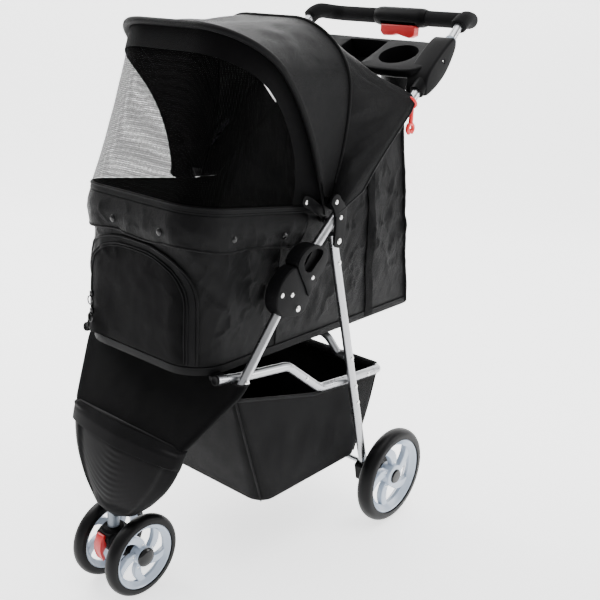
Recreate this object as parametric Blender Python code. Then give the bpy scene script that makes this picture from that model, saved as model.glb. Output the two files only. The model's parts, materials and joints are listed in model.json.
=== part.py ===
"""Three-wheel folding pet stroller: tubular frame, fabric cabin, canopy, basket and cup tray.

Units are metres and +Z is up.  The front of the stroller faces -Y and its own left side is +X.
Inside this file every length along the stroller is measured from the front wheel axle; one
empty, "stroller", carries that frame to the finished place, where the origin lies on the floor
under the middle of the whole object.
"""
import math

import bmesh
import bpy
from mathutils import Matrix, Quaternion, Vector

# ---------------------------------------------------------------- driving dimensions
GAP = 0.0003                    # air between pieces that touch
RUN = 0.0006                    # running clearance of pins and wheels

TUBE_R = 0.0080                 # frame tube outer radius
TUBE_WALL = 0.0014
FRAME_X = 0.1784                # side tubes' centre line from the middle plane
SEAT_X = FRAME_X - 2 * TUBE_R - 0.0014      # basket frame runs just inside the legs
PIN_R = 0.0030
HEAD_R = 0.0052

FOLD_PIVOT = (0.203, 0.508)     # (y, z) hinge of the folding joint, behind the tubes
SEAT_PIVOT = (0.095, 0.408)     # basket frame on the front legs
LEG_PIVOT = (0.303, 0.603)      # rear legs on the handle frame
BASKET_PIVOT = (0.395, 0.316)   # rear legs beside the basket frame: left open in the tree

FRONT_LEG_SLOPE = math.radians(52.2)
UPPER_SLOPE = math.radians(42.0)
LEG_SLOPE = math.radians(73.5)

FRONT_WHEEL_R = 0.073
FRONT_WHEEL_W = 0.025
FRONT_WHEEL_X = 0.043
REAR_WHEEL_R = 0.095
REAR_WHEEL_W = 0.031
REAR_AXLE_Y = 0.497
REAR_WHEEL_X = 0.2075
AXLE_R = 0.0050
BRACE_R = 0.0070
BRACE_CLEAR = 0.0045            # the brace rises a little towards the cabin as the frame folds
SWIVEL_Y = -0.024               # caster axis ahead of the front axle

CABIN_HALF = 0.1435
CABIN_FRONT = 0.026
CABIN_REAR = 0.598
CABIN_FLOOR = 0.417
CABIN_RIM = 0.687
CABIN_WALL = 0.0035
CABIN_CORNER = 0.062
CABIN_TOP = (0.530, 0.800)      # (y, z) rear top corner
DOOR_HALF = 0.076
DOOR_Z = (0.436, 0.566)

BOW_R = 0.0030
HOOK_R = 0.0024
FRONT_BOW = {"x": 0.1575, "rise": 0.367, "angle": math.radians(124.5)}
REAR_BOW = {"x": 0.1500, "rise": 0.313, "angle": math.radians(86.5)}
BOW_BEND = math.radians(18.0)   # how far the bows' feet lean ahead of their crowns
BOW_CORNER = 0.098
BOW_START = 0.010               # the hoop begins this far from its pivot
BOW_STEPS = 20
CANOPY_TRIM = 0.065             # share of a bow left bare at each end
CANOPY_WALL = 0.0024
CANOPY_LIFT = BOW_R + CANOPY_WALL / 2 + 0.0009
MESH_WALL = 0.0016
CANOPY_PIVOT = (LEG_PIVOT[0] + 0.002, LEG_PIVOT[1] + 0.030)

BASKET_HALF = 0.1590
BASKET_WALL = 0.0024
BASKET_BOTTOM = 0.150

HANDLE_Y, HANDLE_Z = 0.716, 0.955
HANDLE_HALF = 0.163
GRIP_R = 0.0150
RELEASE_HALF = 0.061            # half width of the release housing on the handle
RELEASE_R = 0.0185

TRAY_HALF = FRAME_X - 0.0040
TRAY_TILT = math.radians(24.0)
TRAY_AT = (0.570, 0.893)        # (y, z) middle of the tray's top
TRAY_DEPTH = 0.118
CUP_R = 0.0375
CUP_X = 0.098

REAR_EXTENT = HANDLE_Y + RELEASE_R
MIDDLE_Y = (REAR_EXTENT - FRONT_WHEEL_R) / 2

SIDES = 8
WHEEL_SIDES = 24
FINISHES = {
    "steel_tube": ((0.62, 0.62, 0.61), 0.32, 1.0),
    "grey_tube": ((0.33, 0.35, 0.37), 0.4, 0.8),
    "rivet_steel": ((0.72, 0.72, 0.72), 0.25, 1.0),
    "black_plastic": ((0.018, 0.018, 0.02), 0.42, 0.0),
    "red_plastic": ((0.62, 0.03, 0.04), 0.35, 0.0),
    "hook_plastic": ((0.85, 0.04, 0.04), 0.4, 0.0),
    "rim_plastic": ((0.62, 0.68, 0.76), 0.3, 0.0),
    "tyre_foam": ((0.015, 0.015, 0.016), 0.55, 0.0),
    "grip_foam": ((0.02, 0.02, 0.021), 0.8, 0.0),
    "polyester": ((0.016, 0.016, 0.018), 0.6, 0.0),
    "mesh": ((0.02, 0.02, 0.021), 0.7, 0.0),
    "pad_fabric": ((0.02, 0.02, 0.022), 0.85, 0.0),
    "board": ((0.06, 0.06, 0.065), 0.6, 0.0),
}


# ---------------------------------------------------------------- small geometry helpers
def along(start, slope, distance):
    """Point (y, z) at a distance up a line that starts at (y, z) and rises rearwards."""
    return start[0] + math.cos(slope) * distance, start[1] + math.sin(slope) * distance


def at_height(start, slope, z):
    """Point (y, z) of the same kind of line at a height."""
    return along(start, slope, (z - start[1]) / math.sin(slope))


def rounded_path(points, radius, steps=4):
    """Polyline through points with each inner corner replaced by an arc."""
    points = [Vector(p) for p in points]
    path = [points[0]]
    for before, corner, after in zip(points, points[1:], points[2:]):
        to_before = (before - corner).normalized()
        to_after = (after - corner).normalized()
        half = to_before.angle(to_after) / 2
        reach = min(radius / math.tan(half), 0.45 * (before - corner).length,
                    0.45 * (after - corner).length)
        centre = corner + (to_before + to_after).normalized() * reach / math.cos(half)
        spoke = corner + to_before * reach - centre
        last = corner + to_after * reach - centre
        axis = spoke.cross(last).normalized()
        sweep = spoke.angle(last)
        for step in range(steps + 1):
            path.append(centre + Quaternion(axis, sweep * step / steps) @ spoke)
    path.append(points[-1])
    return path


def arc_points(centre, radius, start, end, steps):
    """Points (y, z) on an arc, angles in degrees from +Y towards +Z."""
    angles = [math.radians(start + (end - start) * i / steps) for i in range(steps + 1)]
    return [(centre[0] + radius * math.cos(a), centre[1] + radius * math.sin(a)) for a in angles]


def between(marks, y):
    """Height read off a chain of (y, z) marks."""
    for (y0, z0), (y1, z1) in zip(marks, marks[1:]):
        if y <= y1 + 1e-6:
            return z0 + (z1 - z0) * (y - y0) / (y1 - y0)
    return marks[-1][1]


# ---------------------------------------------------------------- scene, bodies, materials
def clear_scene():
    for item in list(bpy.data.objects):
        bpy.data.objects.remove(item, do_unlink=True)


def material(slot):
    found = bpy.data.materials.get(slot)
    if found:
        return found
    colour, roughness, metallic = FINISHES[slot]
    made = bpy.data.materials.new(slot)
    made.use_nodes = True
    shader = made.node_tree.nodes["Principled BSDF"]
    shader.inputs["Base Color"].default_value = (*colour, 1.0)
    shader.inputs["Roughness"].default_value = roughness
    shader.inputs["Metallic"].default_value = metallic
    return made


def body(name, place, parent):
    """An empty on a joint's axis; the pieces of one moving body hang on it."""
    empty = bpy.data.objects.new(name, None)
    bpy.context.collection.objects.link(empty)
    empty["at"] = place
    empty.parent = parent
    origin = Vector(parent["at"]) if parent else Vector((0, 0, 0))
    empty.location = Vector(place) - origin
    return empty


def finish(name, mesh_maker, slot, owner, smooth=True):
    """Turn a bmesh into a named object that hangs on its body's empty."""
    mesh = bpy.data.meshes.new(name)
    mesh_maker.to_mesh(mesh)
    mesh_maker.free()
    mesh.transform(Matrix.Translation(-Vector(owner["at"])))
    piece = bpy.data.objects.new(name, mesh)
    bpy.context.collection.objects.link(piece)
    piece.parent = owner
    if slot:
        mesh.materials.append(material(slot))
    if smooth:
        mesh.shade_smooth()
        mesh.set_sharp_from_angle(angle=math.radians(35))
    return piece


def cut(piece, tool):
    """Take a tool's volume out of a piece; the tool stays hidden as a guide."""
    tool.hide_render = True
    tool.display_type = "WIRE"
    boolean = piece.modifiers.new("cut_" + tool.name, "BOOLEAN")
    boolean.operation = "DIFFERENCE"
    boolean.solver = "EXACT"
    boolean.object = tool


def join(piece, tool):
    """Fuse a tool's volume to a piece; the tool stays hidden as a guide."""
    cut(piece, tool)
    piece.modifiers[-1].operation = "UNION"


# ---------------------------------------------------------------- mesh makers
def frames_along(path):
    """Side and up vectors that travel along a path without twisting."""
    tangents = []
    for i, point in enumerate(path):
        before = path[max(i - 1, 0)]
        after = path[min(i + 1, len(path) - 1)]
        if 0 < i < len(path) - 1:
            tangents.append(((point - before).normalized() + (after - point).normalized()).normalized())
        else:
            tangents.append((after - before).normalized())
    side = tangents[0].orthogonal().normalized()
    result = []
    for i, tangent in enumerate(tangents):
        if i:
            side = tangents[i - 1].rotation_difference(tangent) @ side
        side = (side - tangent * side.dot(tangent)).normalized()
        result.append((side, tangent.cross(side)))
    return result


def sweep_rings(bm, path, radius, sides, flat=1.0):
    rings = []
    for point, (side, up) in zip(path, frames_along(path)):
        ring = []
        for k in range(sides):
            a = 2 * math.pi * (k + 0.5) / sides
            ring.append(bm.verts.new(point + side * radius * math.cos(a)
                                     + up * radius * flat * math.sin(a)))
        rings.append(ring)
    return rings


def skin(bm, rings, outward=True):
    for first, second in zip(rings, rings[1:]):
        count = len(first)
        for k in range(count):
            face = [first[k], first[(k + 1) % count], second[(k + 1) % count], second[k]]
            bm.faces.new(face if outward else face[::-1])


def tube(name, path, slot, owner, radius=TUBE_R, wall=TUBE_WALL, sides=SIDES):
    """Hollow tube, open at both ends."""
    path = [Vector(p) for p in path]
    bm = bmesh.new()
    outer = sweep_rings(bm, path, radius, sides)
    inner = sweep_rings(bm, path, radius - wall, sides)
    skin(bm, outer)
    skin(bm, inner, outward=False)
    for a, b in ((inner[0], outer[0]), (outer[-1], inner[-1])):
        for k in range(sides):
            bm.faces.new([a[k], a[(k + 1) % sides], b[(k + 1) % sides], b[k]])
    return finish(name, bm, slot, owner)


def rod(name, path, slot, owner, radius, sides=SIDES, flat=1.0):
    """Solid bar along a path."""
    path = [Vector(p) for p in path]
    bm = bmesh.new()
    rings = sweep_rings(bm, path, radius, sides, flat)
    skin(bm, rings)
    bm.faces.new(rings[0][::-1])
    bm.faces.new(rings[-1])
    return finish(name, bm, slot, owner)


def turned_x(name, outline, centre, slot, owner, segments=32, closed=False):
    """Solid of revolution about an X axis.  outline holds (x, radius) from -X to +X."""
    bm = bmesh.new()
    rings = []
    for x, radius in outline:
        ring = []
        for k in range(segments):
            a = 2 * math.pi * k / segments
            ring.append(bm.verts.new((centre[0] + x, centre[1] + radius * math.cos(a),
                                      centre[2] + radius * math.sin(a))))
        rings.append(ring)
    if closed:
        skin(bm, rings + rings[:1])
    else:
        skin(bm, rings)
        bm.faces.new(rings[0][::-1])
        bm.faces.new(rings[-1])
    bmesh.ops.recalc_face_normals(bm, faces=bm.faces)
    return finish(name, bm, slot, owner)


def slab(name, outline, x0, x1, slot, owner, bevel=0.0):
    """Plate: a closed (y, z) outline carried from x0 to x1."""
    bm = bmesh.new()
    low = [bm.verts.new((x0, y, z)) for y, z in outline]
    high = [bm.verts.new((x1, y, z)) for y, z in outline]
    skin(bm, [low, high])
    bm.faces.new(low[::-1])
    bm.faces.new(high)
    bmesh.ops.recalc_face_normals(bm, faces=bm.faces)
    piece = finish(name, bm, slot, owner, smooth=False)
    if bevel:
        soften(piece, bevel)
    return piece


def soften(piece, width, segments=1):
    edge = piece.modifiers.new("edges", "BEVEL")
    edge.width = width
    edge.segments = segments
    edge.limit_method = "ANGLE"
    edge.angle_limit = math.radians(40)


def block(name, centre, size, slot, owner, bevel=0.0, tilt=0.0):
    """Box turned about X by tilt."""
    bm = bmesh.new()
    bmesh.ops.create_cube(bm, size=1.0)
    bmesh.ops.scale(bm, vec=size, verts=bm.verts)
    bmesh.ops.rotate(bm, cent=(0, 0, 0), matrix=Matrix.Rotation(tilt, 3, "X"), verts=bm.verts)
    bmesh.ops.translate(bm, vec=centre, verts=bm.verts)
    piece = finish(name, bm, slot, owner, smooth=False)
    if bevel:
        soften(piece, bevel)
    return piece


def bore(name, centre, radius, x0, x1, owner, segments=12):
    """Round tool along X, for a pin hole."""
    return turned_x(name, [(x0, radius), (x1, radius)], (0, *centre), None, owner, segments)


def loft(name, rails, slot, owner, wall, closed=False):
    """Sheet through rows of points, thickened to both sides of the rows."""
    bm = bmesh.new()
    rows = [[bm.verts.new(p) for p in row] for row in rails]
    for a, b in zip(rows, rows[1:]):
        pairs = len(a) if closed else len(a) - 1
        for k in range(pairs):
            n = (k + 1) % len(a)
            bm.faces.new([a[k], a[n], b[n], b[k]])
    piece = finish(name, bm, slot, owner)
    solid = piece.modifiers.new("wall", "SOLIDIFY")
    solid.thickness = wall
    solid.offset = 0.0
    solid.use_even_offset = True
    return piece


# ---------------------------------------------------------------- frame lines
FRONT_LEG_LOW = at_height(SEAT_PIVOT, FRONT_LEG_SLOPE, 0.300)
FRONT_LEG_TOP = at_height(SEAT_PIVOT, FRONT_LEG_SLOPE, 0.513)
UPPER_AXIS_OFFSET = 0.0324      # upper tube's centre line ahead of the fold pivot
UPPER_START = (FOLD_PIVOT[0] - UPPER_AXIS_OFFSET * math.sin(UPPER_SLOPE),
               FOLD_PIVOT[1] + UPPER_AXIS_OFFSET * math.cos(UPPER_SLOPE))
UPPER_LOW = along(UPPER_START, UPPER_SLOPE, 0.022)
UPPER_TOP = along(UPPER_START, UPPER_SLOPE, 0.585)
CLAMP_S = (0.452, 0.572)        # tray clamps' stretch along the upper tube


def on_upper(distance, lift=0.0):
    """Point (y, z) beside the upper tube; lift is ahead of and above its centre line."""
    y, z = along(UPPER_START, UPPER_SLOPE, distance)
    return y - lift * math.sin(UPPER_SLOPE), z + lift * math.cos(UPPER_SLOPE)


def side_sign(side):
    return 1 if side == "left" else -1


def spread(sign, inner, outer):
    """Low and high x of something that lies between two distances from the middle plane."""
    return (inner, outer) if sign > 0 else (-outer, -inner)


# ---------------------------------------------------------------- front frame
def make_front_frame(front):
    for side in ("left", "right"):
        s = side_sign(side)
        low_y, low_z = FRONT_LEG_LOW
        path = rounded_path([(s * FRAME_X, *FRONT_LEG_TOP),
                             (s * FRAME_X, *at_height(SEAT_PIVOT, FRONT_LEG_SLOPE, 0.392)),
                             (s * 0.126, low_y, low_z),
                             (s * 0.030, -0.006, 0.176)], 0.06)
        leg = tube("front_leg_" + side, path, "steel_tube", front)
        cut(leg, bore("seat_hole_" + side, SEAT_PIVOT, PIN_R + GAP, *spread(s, 0.14, 0.21), front))
        make_lock_housing(side, front)
        make_pin("seat_pin_" + side, SEAT_PIVOT, SEAT_X - TUBE_R - 0.0022, FRAME_X + TUBE_R + GAP, s, front)
    make_footrest(front)
    make_leg_panel(front)
    stem = [(0, SWIVEL_Y, 0.168), (0, SWIVEL_Y, 0.0955)]
    tube("caster_stem", stem, "grey_tube", front, radius=0.0100, wall=0.0016, sides=16)


def make_pin(name, centre, inner, outer, s, owner, head_in=True):
    """Rivet along X: shank between two distances from the middle plane, domed head outside."""
    dome = 0.0024
    outline = [(outer, HEAD_R), (outer + dome * 0.7, HEAD_R * 0.8), (outer + dome, HEAD_R * 0.35)]
    outline = [(inner, PIN_R), (outer, PIN_R)] + outline
    if head_in:
        outline = [(inner - 0.0018, HEAD_R * 0.9), (inner, HEAD_R * 0.9)] + outline
    outline = [(s * x, r) for x, r in outline]
    return turned_x(name, outline[::s], (0, *centre), "rivet_steel", owner, 12)


HOUSING_IN, HOUSING_OUT = 0.0128, 0.0142        # lock housing's reach inside and outside FRAME_X
CHEEK = 0.0040
KNUCKLE_HALF = 0.0084
SEAM_GAP = 0.0008
# the housing's upper edge in joint coordinates; its distance from the pivot falls all the way to
# the rear, so the collar above it swings clear as the joint folds
SEAM = ((0.0480, -0.0520), (0.0465, -0.0380), (0.0450, -0.0260), (0.0420, -0.0120), (0.0370, 0.0010),
        (0.0300, 0.0135))


def lock_point(s, n):
    """(y, z) from distances along (s) and behind (n) the folding joint, from its pivot."""
    a = math.radians(47.0)
    return (FOLD_PIVOT[0] + s * math.cos(a) + n * math.sin(a),
            FOLD_PIVOT[1] + s * math.sin(a) - n * math.cos(a))


def make_lock_housing(side, front):
    """Shell round the top of the front leg with two cheeks that carry the fold pivot."""
    s = side_sign(side)
    tail = [(0.012, 0.0165), (-0.004, 0.0165), (-0.015, 0.0080), (-0.025, -0.0120), (-0.0265, -0.0330),
            (-0.014, -0.0520), (0.020, -0.0620), (0.044, -0.0590)]
    outline = [lock_point(a, n) for a, n in list(SEAM) + tail]
    x0, x1 = spread(s, FRAME_X - HOUSING_IN, FRAME_X + HOUSING_OUT)
    housing = slab("lock_housing_" + side, outline, x0, x1, "black_plastic", front, bevel=0.0022)
    room = [lock_point(a, n) for a, n in ((0.060, -0.075), (0.060, 0.040), (-0.0125, 0.040),
                                          (-0.0125, -0.0095), (0.0140, -0.0135), (0.0140, -0.075))]
    half = KNUCKLE_HALF + RUN
    cut(housing, slab("knuckle_room_" + side, room, s * FRAME_X - half, s * FRAME_X + half, None, front))
    leg_low = at_height(SEAT_PIVOT, FRONT_LEG_SLOPE, 0.440)
    leg_high = at_height(SEAT_PIVOT, FRONT_LEG_SLOPE, FRONT_LEG_TOP[1] + 0.0005)
    cut(housing, rod("leg_room_" + side, [(s * FRAME_X, *leg_low), (s * FRAME_X, *leg_high)], None,
                     front, TUBE_R + GAP))
    cut(housing, bore("fold_hole_" + side, FOLD_PIVOT, PIN_R + GAP, *spread(s, 0.15, 0.21), front))
    make_pin("fold_pin_" + side, FOLD_PIVOT, FRAME_X - HOUSING_IN - GAP,
             FRAME_X + HOUSING_OUT + GAP, s, front)


def make_footrest(front):
    """Moulded toe cap over the place where the front legs meet."""
    rows = []
    stations = ((0.306, 0.139, -0.002, 0.030), (0.290, 0.138, -0.012, 0.036), (0.262, 0.131, -0.024, 0.044),
                (0.225, 0.113, -0.034, 0.048), (0.190, 0.084, -0.040, 0.048), (0.160, 0.050, -0.040, 0.042),
                (0.146, 0.018, -0.030, 0.024))
    for z, half, front_y, depth in stations:
        row = []
        for k in range(20):
            a = 2 * math.pi * k / 20
            bulge = math.sin(a)
            x = half * math.copysign(abs(math.cos(a)) ** 0.75, math.cos(a))
            y = front_y + depth * 0.5 + bulge * depth * 0.5 + 0.05 * abs(x) * (1 - bulge) / 2
            row.append((x, y, z))
        rows.append(row)
    bm = bmesh.new()
    rings = [[bm.verts.new(p) for p in row] for row in rows]
    skin(bm, rings)
    bm.faces.new(rings[0][::-1])
    bm.faces.new(rings[-1])
    bmesh.ops.recalc_face_normals(bm, faces=bm.faces)
    cap = finish("footrest", bm, "black_plastic", front)
    for side in ("left", "right"):
        s = side_sign(side)
        leg = [(s * FRAME_X, *at_height(SEAT_PIVOT, FRONT_LEG_SLOPE, 0.392)),
               (s * 0.126, *FRONT_LEG_LOW), (s * 0.030, -0.006, 0.176)]
        path = rounded_path([(s * FRAME_X, *FRONT_LEG_TOP)] + leg, 0.06)
        path.append(path[-1] + (path[-1] - path[-2]).normalized() * GAP)
        cut(cap, rod("leg_groove_" + side, path, None, front, TUBE_R + GAP))
    stem = [(0, SWIVEL_Y, 0.168 + GAP), (0, SWIVEL_Y, 0.10)]
    cut(cap, rod("stem_socket", stem, None, front, 0.0100 + GAP, 16))


def make_leg_panel(front):
    """Fabric stretched between the front legs, from the cabin floor down to the footrest."""
    rows = []
    for z in (0.4025, 0.375, 0.342, 0.3078):
        y = at_height(SEAT_PIVOT, FRONT_LEG_SLOPE, z)[0] - 0.012
        half = 0.126 + (FRAME_X - 0.126) * min(1.0, (z - 0.300) / 0.092) - TUBE_R - 0.0030
        rows.append([(half * (k / 4 - 1), y, z) for k in range(9)])
    loft("leg_panel", rows, "polyester", front, 0.0024)


# ---------------------------------------------------------------- caster and wheels
HOUSING_HALF = 0.0170
STEM_CLEAR = 0.0106


def make_caster(caster):
    """Swivel housing round the stem's foot; it carries the front axle."""
    outline = [(SWIVEL_Y - 0.022, 0.118), (SWIVEL_Y + 0.024, 0.118), (0.014, 0.092), (0.014, 0.062),
               (-0.006, 0.058), (SWIVEL_Y - 0.010, 0.076), (SWIVEL_Y - 0.022, 0.096)]
    housing = slab("caster_housing", outline, -HOUSING_HALF, HOUSING_HALF, "black_plastic", caster, 0.003)
    socket = [(0, SWIVEL_Y, 0.150), (0, SWIVEL_Y, 0.0950)]
    cut(housing, rod("stem_bore", socket, None, caster, STEM_CLEAR, 16))
    cut(housing, bore("front_axle_hole", (0, FRONT_WHEEL_R), AXLE_R + GAP, -0.05, 0.05, caster))
    reach = FRONT_WHEEL_X + FRONT_WHEEL_W / 2 - 0.002
    turned_x("front_axle", [(-reach, AXLE_R), (reach, AXLE_R)], (0, 0, FRONT_WHEEL_R), "rivet_steel",
             caster, 16)


def make_wheel(name, x, y, radius, width, owner):
    """Foam tyre on a moulded rim with five windows; bored for the axle."""
    rim_r = radius * 0.81
    half = width / 2
    seat = rim_r + GAP
    crown = radius - width * 0.30
    outline = [(-half * 0.92, seat), (-half, crown), (-half * 0.36, radius), (half * 0.36, radius),
               (half, crown), (half * 0.92, seat)]
    turned_x(name + "_tyre", outline, (x, y, radius), "tyre_foam", owner, WHEEL_SIDES, closed=True)
    lip = rim_r - 0.0075
    hub_r = radius * 0.235
    hub = half * 0.80
    web = half * 0.34
    hole = AXLE_R + GAP
    profile = [(-hub, hole), (-hub, hub_r), (-web, hub_r + 0.001), (-web, lip), (-half * 0.88, lip),
               (-half * 0.88, rim_r), (half * 0.88, rim_r), (half * 0.88, lip), (web, lip),
               (web, hub_r + 0.001), (hub, hub_r), (hub, hole)]
    rim = turned_x(name + "_rim", profile, (x, y, radius), "rim_plastic", owner, WHEEL_SIDES, closed=True)
    for i in range(5):
        windows = window_outline(y, radius, hub_r, lip, math.radians(72 * i + 20))
        cut(rim, slab(f"{name}_window_{i}", windows, x - half, x + half, None, owner))


def window_outline(y, z, hub_r, lip, start):
    """Opening between two swept spokes, as a (y, z) outline."""
    inner, outer = hub_r + 0.004, lip - 0.003
    sweep = 0.42
    shape = []
    for r, a in ((inner, 0.34), (inner, 0.86), ((inner + outer) / 2, 0.86 + sweep * 0.5),
                 (outer, 1.02 + sweep), (outer, 0.60 + sweep), (outer, 0.20 + sweep)):
        shape.append((y + r * math.cos(start + a), z + r * math.sin(start + a)))
    return shape


def make_swivel_lock(lever):
    """Red lever on the front of the caster housing."""
    front = SWIVEL_Y - 0.022 - GAP
    outline = [(front - 0.0005, 0.094), (front - 0.0005, 0.114), (front - 0.0065, 0.116),
               (front - 0.0130, 0.100), (front - 0.0125, 0.078), (front - 0.0060, 0.068),
               (front - 0.0030, 0.074), (front - 0.0045, 0.086)]
    slab("swivel_lock_lever", outline, -0.0085, 0.0085, "red_plastic", lever, bevel=0.0012)


# ---------------------------------------------------------------- handle frame
def make_upper_frame(upper):
    for side in ("left", "right"):
        s = side_sign(side)
        bend_low = on_upper(0.5790)
        path = [(s * FRAME_X, *UPPER_LOW), (s * FRAME_X, *bend_low)]
        tube("upper_tube_" + side, path, "steel_tube", upper)
        make_knuckle(side, upper)
        make_bracket(side, upper)
    make_handle(upper)
    make_tray(upper)


def make_knuckle(side, upper):
    """Block fixed in the end of the upper tube, carried on the fold pin between the cheeks."""
    s = side_sign(side)
    outline = arc_points(FOLD_PIVOT, 0.0100, -150, 20, 6)
    outline += [on_upper(0.0520, -0.0160), on_upper(0.0520, 0.0105), on_upper(0.0185, 0.0105),
                lock_point(0.0160, -0.0120)]
    x0, x1 = s * FRAME_X - KNUCKLE_HALF, s * FRAME_X + KNUCKLE_HALF
    knuckle = slab("hinge_knuckle_" + side, outline, x0, x1, "black_plastic", upper)
    end = along(UPPER_LOW, UPPER_SLOPE, -GAP)
    cut(knuckle, rod("tube_room_" + side, [(s * FRAME_X, *end), (s * FRAME_X, *on_upper(0.14))], None,
                     upper, TUBE_R + GAP))
    cut(knuckle, bore("knuckle_hole_" + side, FOLD_PIVOT, PIN_R + GAP, *spread(s, 0.15, 0.21), upper))


BRACKET_S = 0.166
BRACKET_T = 0.0042


def make_bracket(side, upper):
    """Curved plate outside the upper tube, down to the rear leg's pivot."""
    s = side_sign(side)
    top = on_upper(BRACKET_S + 0.004, 0.030)
    mid = on_upper(BRACKET_S)
    outline = (arc_points(top, 0.0125, 20, 190, 5) + [(mid[0] - 0.0165, mid[1] - 0.004)]
               + arc_points(LEG_PIVOT, 0.0115, 190, 350, 5) + [(mid[0] + 0.0150, mid[1] + 0.002)])
    inner = FRAME_X + TUBE_R + GAP
    x0, x1 = spread(s, inner, inner + BRACKET_T)
    plate = slab("pivot_bracket_" + side, outline, x0, x1, "black_plastic", upper, bevel=0.001)
    cut(plate, bore("plate_hole_" + side, LEG_PIVOT, PIN_R + GAP, *spread(s, 0.15, 0.21), upper))
    shank = FRAME_X - TUBE_R - GAP
    make_pin("leg_pin_" + side, LEG_PIVOT, shank, inner + BRACKET_T + GAP, s, upper)


def make_handle(upper):
    """Bar that joins the upper tubes, with foam sleeves and the release housing at its middle."""
    start = on_upper(0.5790 + 2 * GAP)
    corner = on_upper(0.640)
    half = HANDLE_HALF

    def bar_path(inset, steps=4):
        points = [(FRAME_X, *start), (FRAME_X - 0.004, *corner), (half, HANDLE_Y, HANDLE_Z),
                  (0, HANDLE_Y, HANDLE_Z)]
        left = rounded_path(points, 0.050 - inset, steps)[:-1]
        right = [Vector((-p.x, p.y, p.z)) for p in left[::-1]]
        return left + right

    path = bar_path(0.0)
    tube("handle_bar", path, "steel_tube", upper)
    edge = RELEASE_HALF + GAP
    for side in ("left", "right"):
        s = side_sign(side)
        sleeve = [Vector((s * p.x, p.y, p.z)) for p in path if p.x > edge]
        sleeve = sleeve[3:] + [Vector((s * edge, HANDLE_Y, HANDLE_Z))]
        tube("foam_grip_" + side, sleeve, "grip_foam", upper, radius=GRIP_R,
             wall=GRIP_R - TUBE_R - GAP, sides=14)
    make_release_housing(upper)


def make_release_housing(upper):
    outline = [(-RELEASE_HALF, 0.0150), (-0.045, RELEASE_R), (0.045, RELEASE_R), (RELEASE_HALF, 0.0150)]
    housing = turned_x("release_housing", outline, (0, HANDLE_Y, HANDLE_Z), "black_plastic", upper, 24)
    bar = [(-0.1, HANDLE_Y, HANDLE_Z), (0.1, HANDLE_Y, HANDLE_Z)]
    cut(housing, rod("bar_room", bar, None, upper, TUBE_R + GAP, 16))
    cut(housing, block("trigger_slot", (0, HANDLE_Y - 0.006, HANDLE_Z - 0.026), (0.083, 0.021, 0.034),
                       None, upper))


def make_trigger(trigger):
    """Red squeeze bar under the release housing."""
    centre = (0, HANDLE_Y - 0.006, HANDLE_Z - 0.0245)
    block("release_trigger", centre, (0.082, 0.0200, 0.0200), "red_plastic", trigger, bevel=0.003)


def make_tray(upper):
    """Moulded cup tray on two clamps, with two cup wells and a middle compartment."""
    y0, z0 = TRAY_AT
    thick = 0.018
    size = (2 * TRAY_HALF, TRAY_DEPTH, thick)
    c, s = math.cos(TRAY_TILT), math.sin(TRAY_TILT)

    def local(x, back, down):
        return (x, y0 + back * c + down * s, z0 + back * s - down * c)

    tray = block("cup_tray", local(0, 0, thick / 2), size, "black_plastic", upper, tilt=TRAY_TILT)
    for label, sign in (("left", 1), ("right", -1)):
        well = [local(sign * CUP_X, 0, 0.0022), local(sign * CUP_X, 0.010, 0.058)]
        join(tray, rod("well_" + label, well, None, upper, CUP_R + 0.0026, 20))
        clamp_path = [(sign * (FRAME_X + 0.0004), *on_upper(d)) for d in CLAMP_S]
        join(tray, rod("clamp_" + label, clamp_path, None, upper, TUBE_R + 0.0052, 16))
    join(tray, block("compartment", local(0, 0, 0.0225), (0.096, 0.098, 0.036), None, upper,
                     tilt=TRAY_TILT))
    for label, sign in (("left", 1), ("right", -1)):
        hollow = [local(sign * CUP_X, -0.001, -0.020), local(sign * CUP_X, 0.0096, 0.0555)]
        cut(tray, rod("cup_room_" + label, hollow, None, upper, CUP_R, 20))
        tube_path = [(sign * FRAME_X, *on_upper(d)) for d in (0.40, 0.5790 + GAP)]
        cut(tray, rod("tube_channel_" + label, tube_path, None, upper, TUBE_R + GAP))
    cut(tray, block("compartment_room", local(0, 0, 0.0090), (0.090, 0.092, 0.058), None, upper,
                    tilt=TRAY_TILT))


def make_latch(side, latch):
    """Collar that slides up the tube to free the joint, with a finger loop on its front."""
    s = side_sign(side)
    edge = [(a + SEAM_GAP, n + SEAM_GAP * 0.5) for a, n in SEAM]
    top = [(0.048, 0.0160), (0.068, 0.0170), (0.088, 0.0070), (0.104, -0.0080), (0.107, -0.0240),
           (0.098, -0.0410), (0.080, -0.0510), (0.058, -0.0520)]
    x0, x1 = spread(s, FRAME_X - HOUSING_IN + 0.001, FRAME_X + HOUSING_OUT - 0.001)
    collar = slab("latch_collar_" + side, [lock_point(*p) for p in edge + top], x0, x1,
                  "black_plastic", latch, bevel=0.0012)
    half = KNUCKLE_HALF + RUN
    front, back = 0.0122, -0.070
    channel = [on_upper(-0.02, front), on_upper(0.20, front), on_upper(0.20, back), on_upper(-0.02, back)]
    cut(collar, slab("collar_channel_" + side, channel, s * FRAME_X - half, s * FRAME_X + half, None, latch))
    loop = ((0.060, -0.0440), (0.078, -0.0440), (0.092, -0.0370), (0.092, -0.0330), (0.060, -0.0330))
    cut(collar, slab("finger_hole_" + side, [lock_point(*p) for p in loop], *spread(s, 0.15, 0.21), None,
                     latch))


# ---------------------------------------------------------------- rear frame
LEG_LOW = at_height(LEG_PIVOT, -LEG_SLOPE, 0.108)


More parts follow.
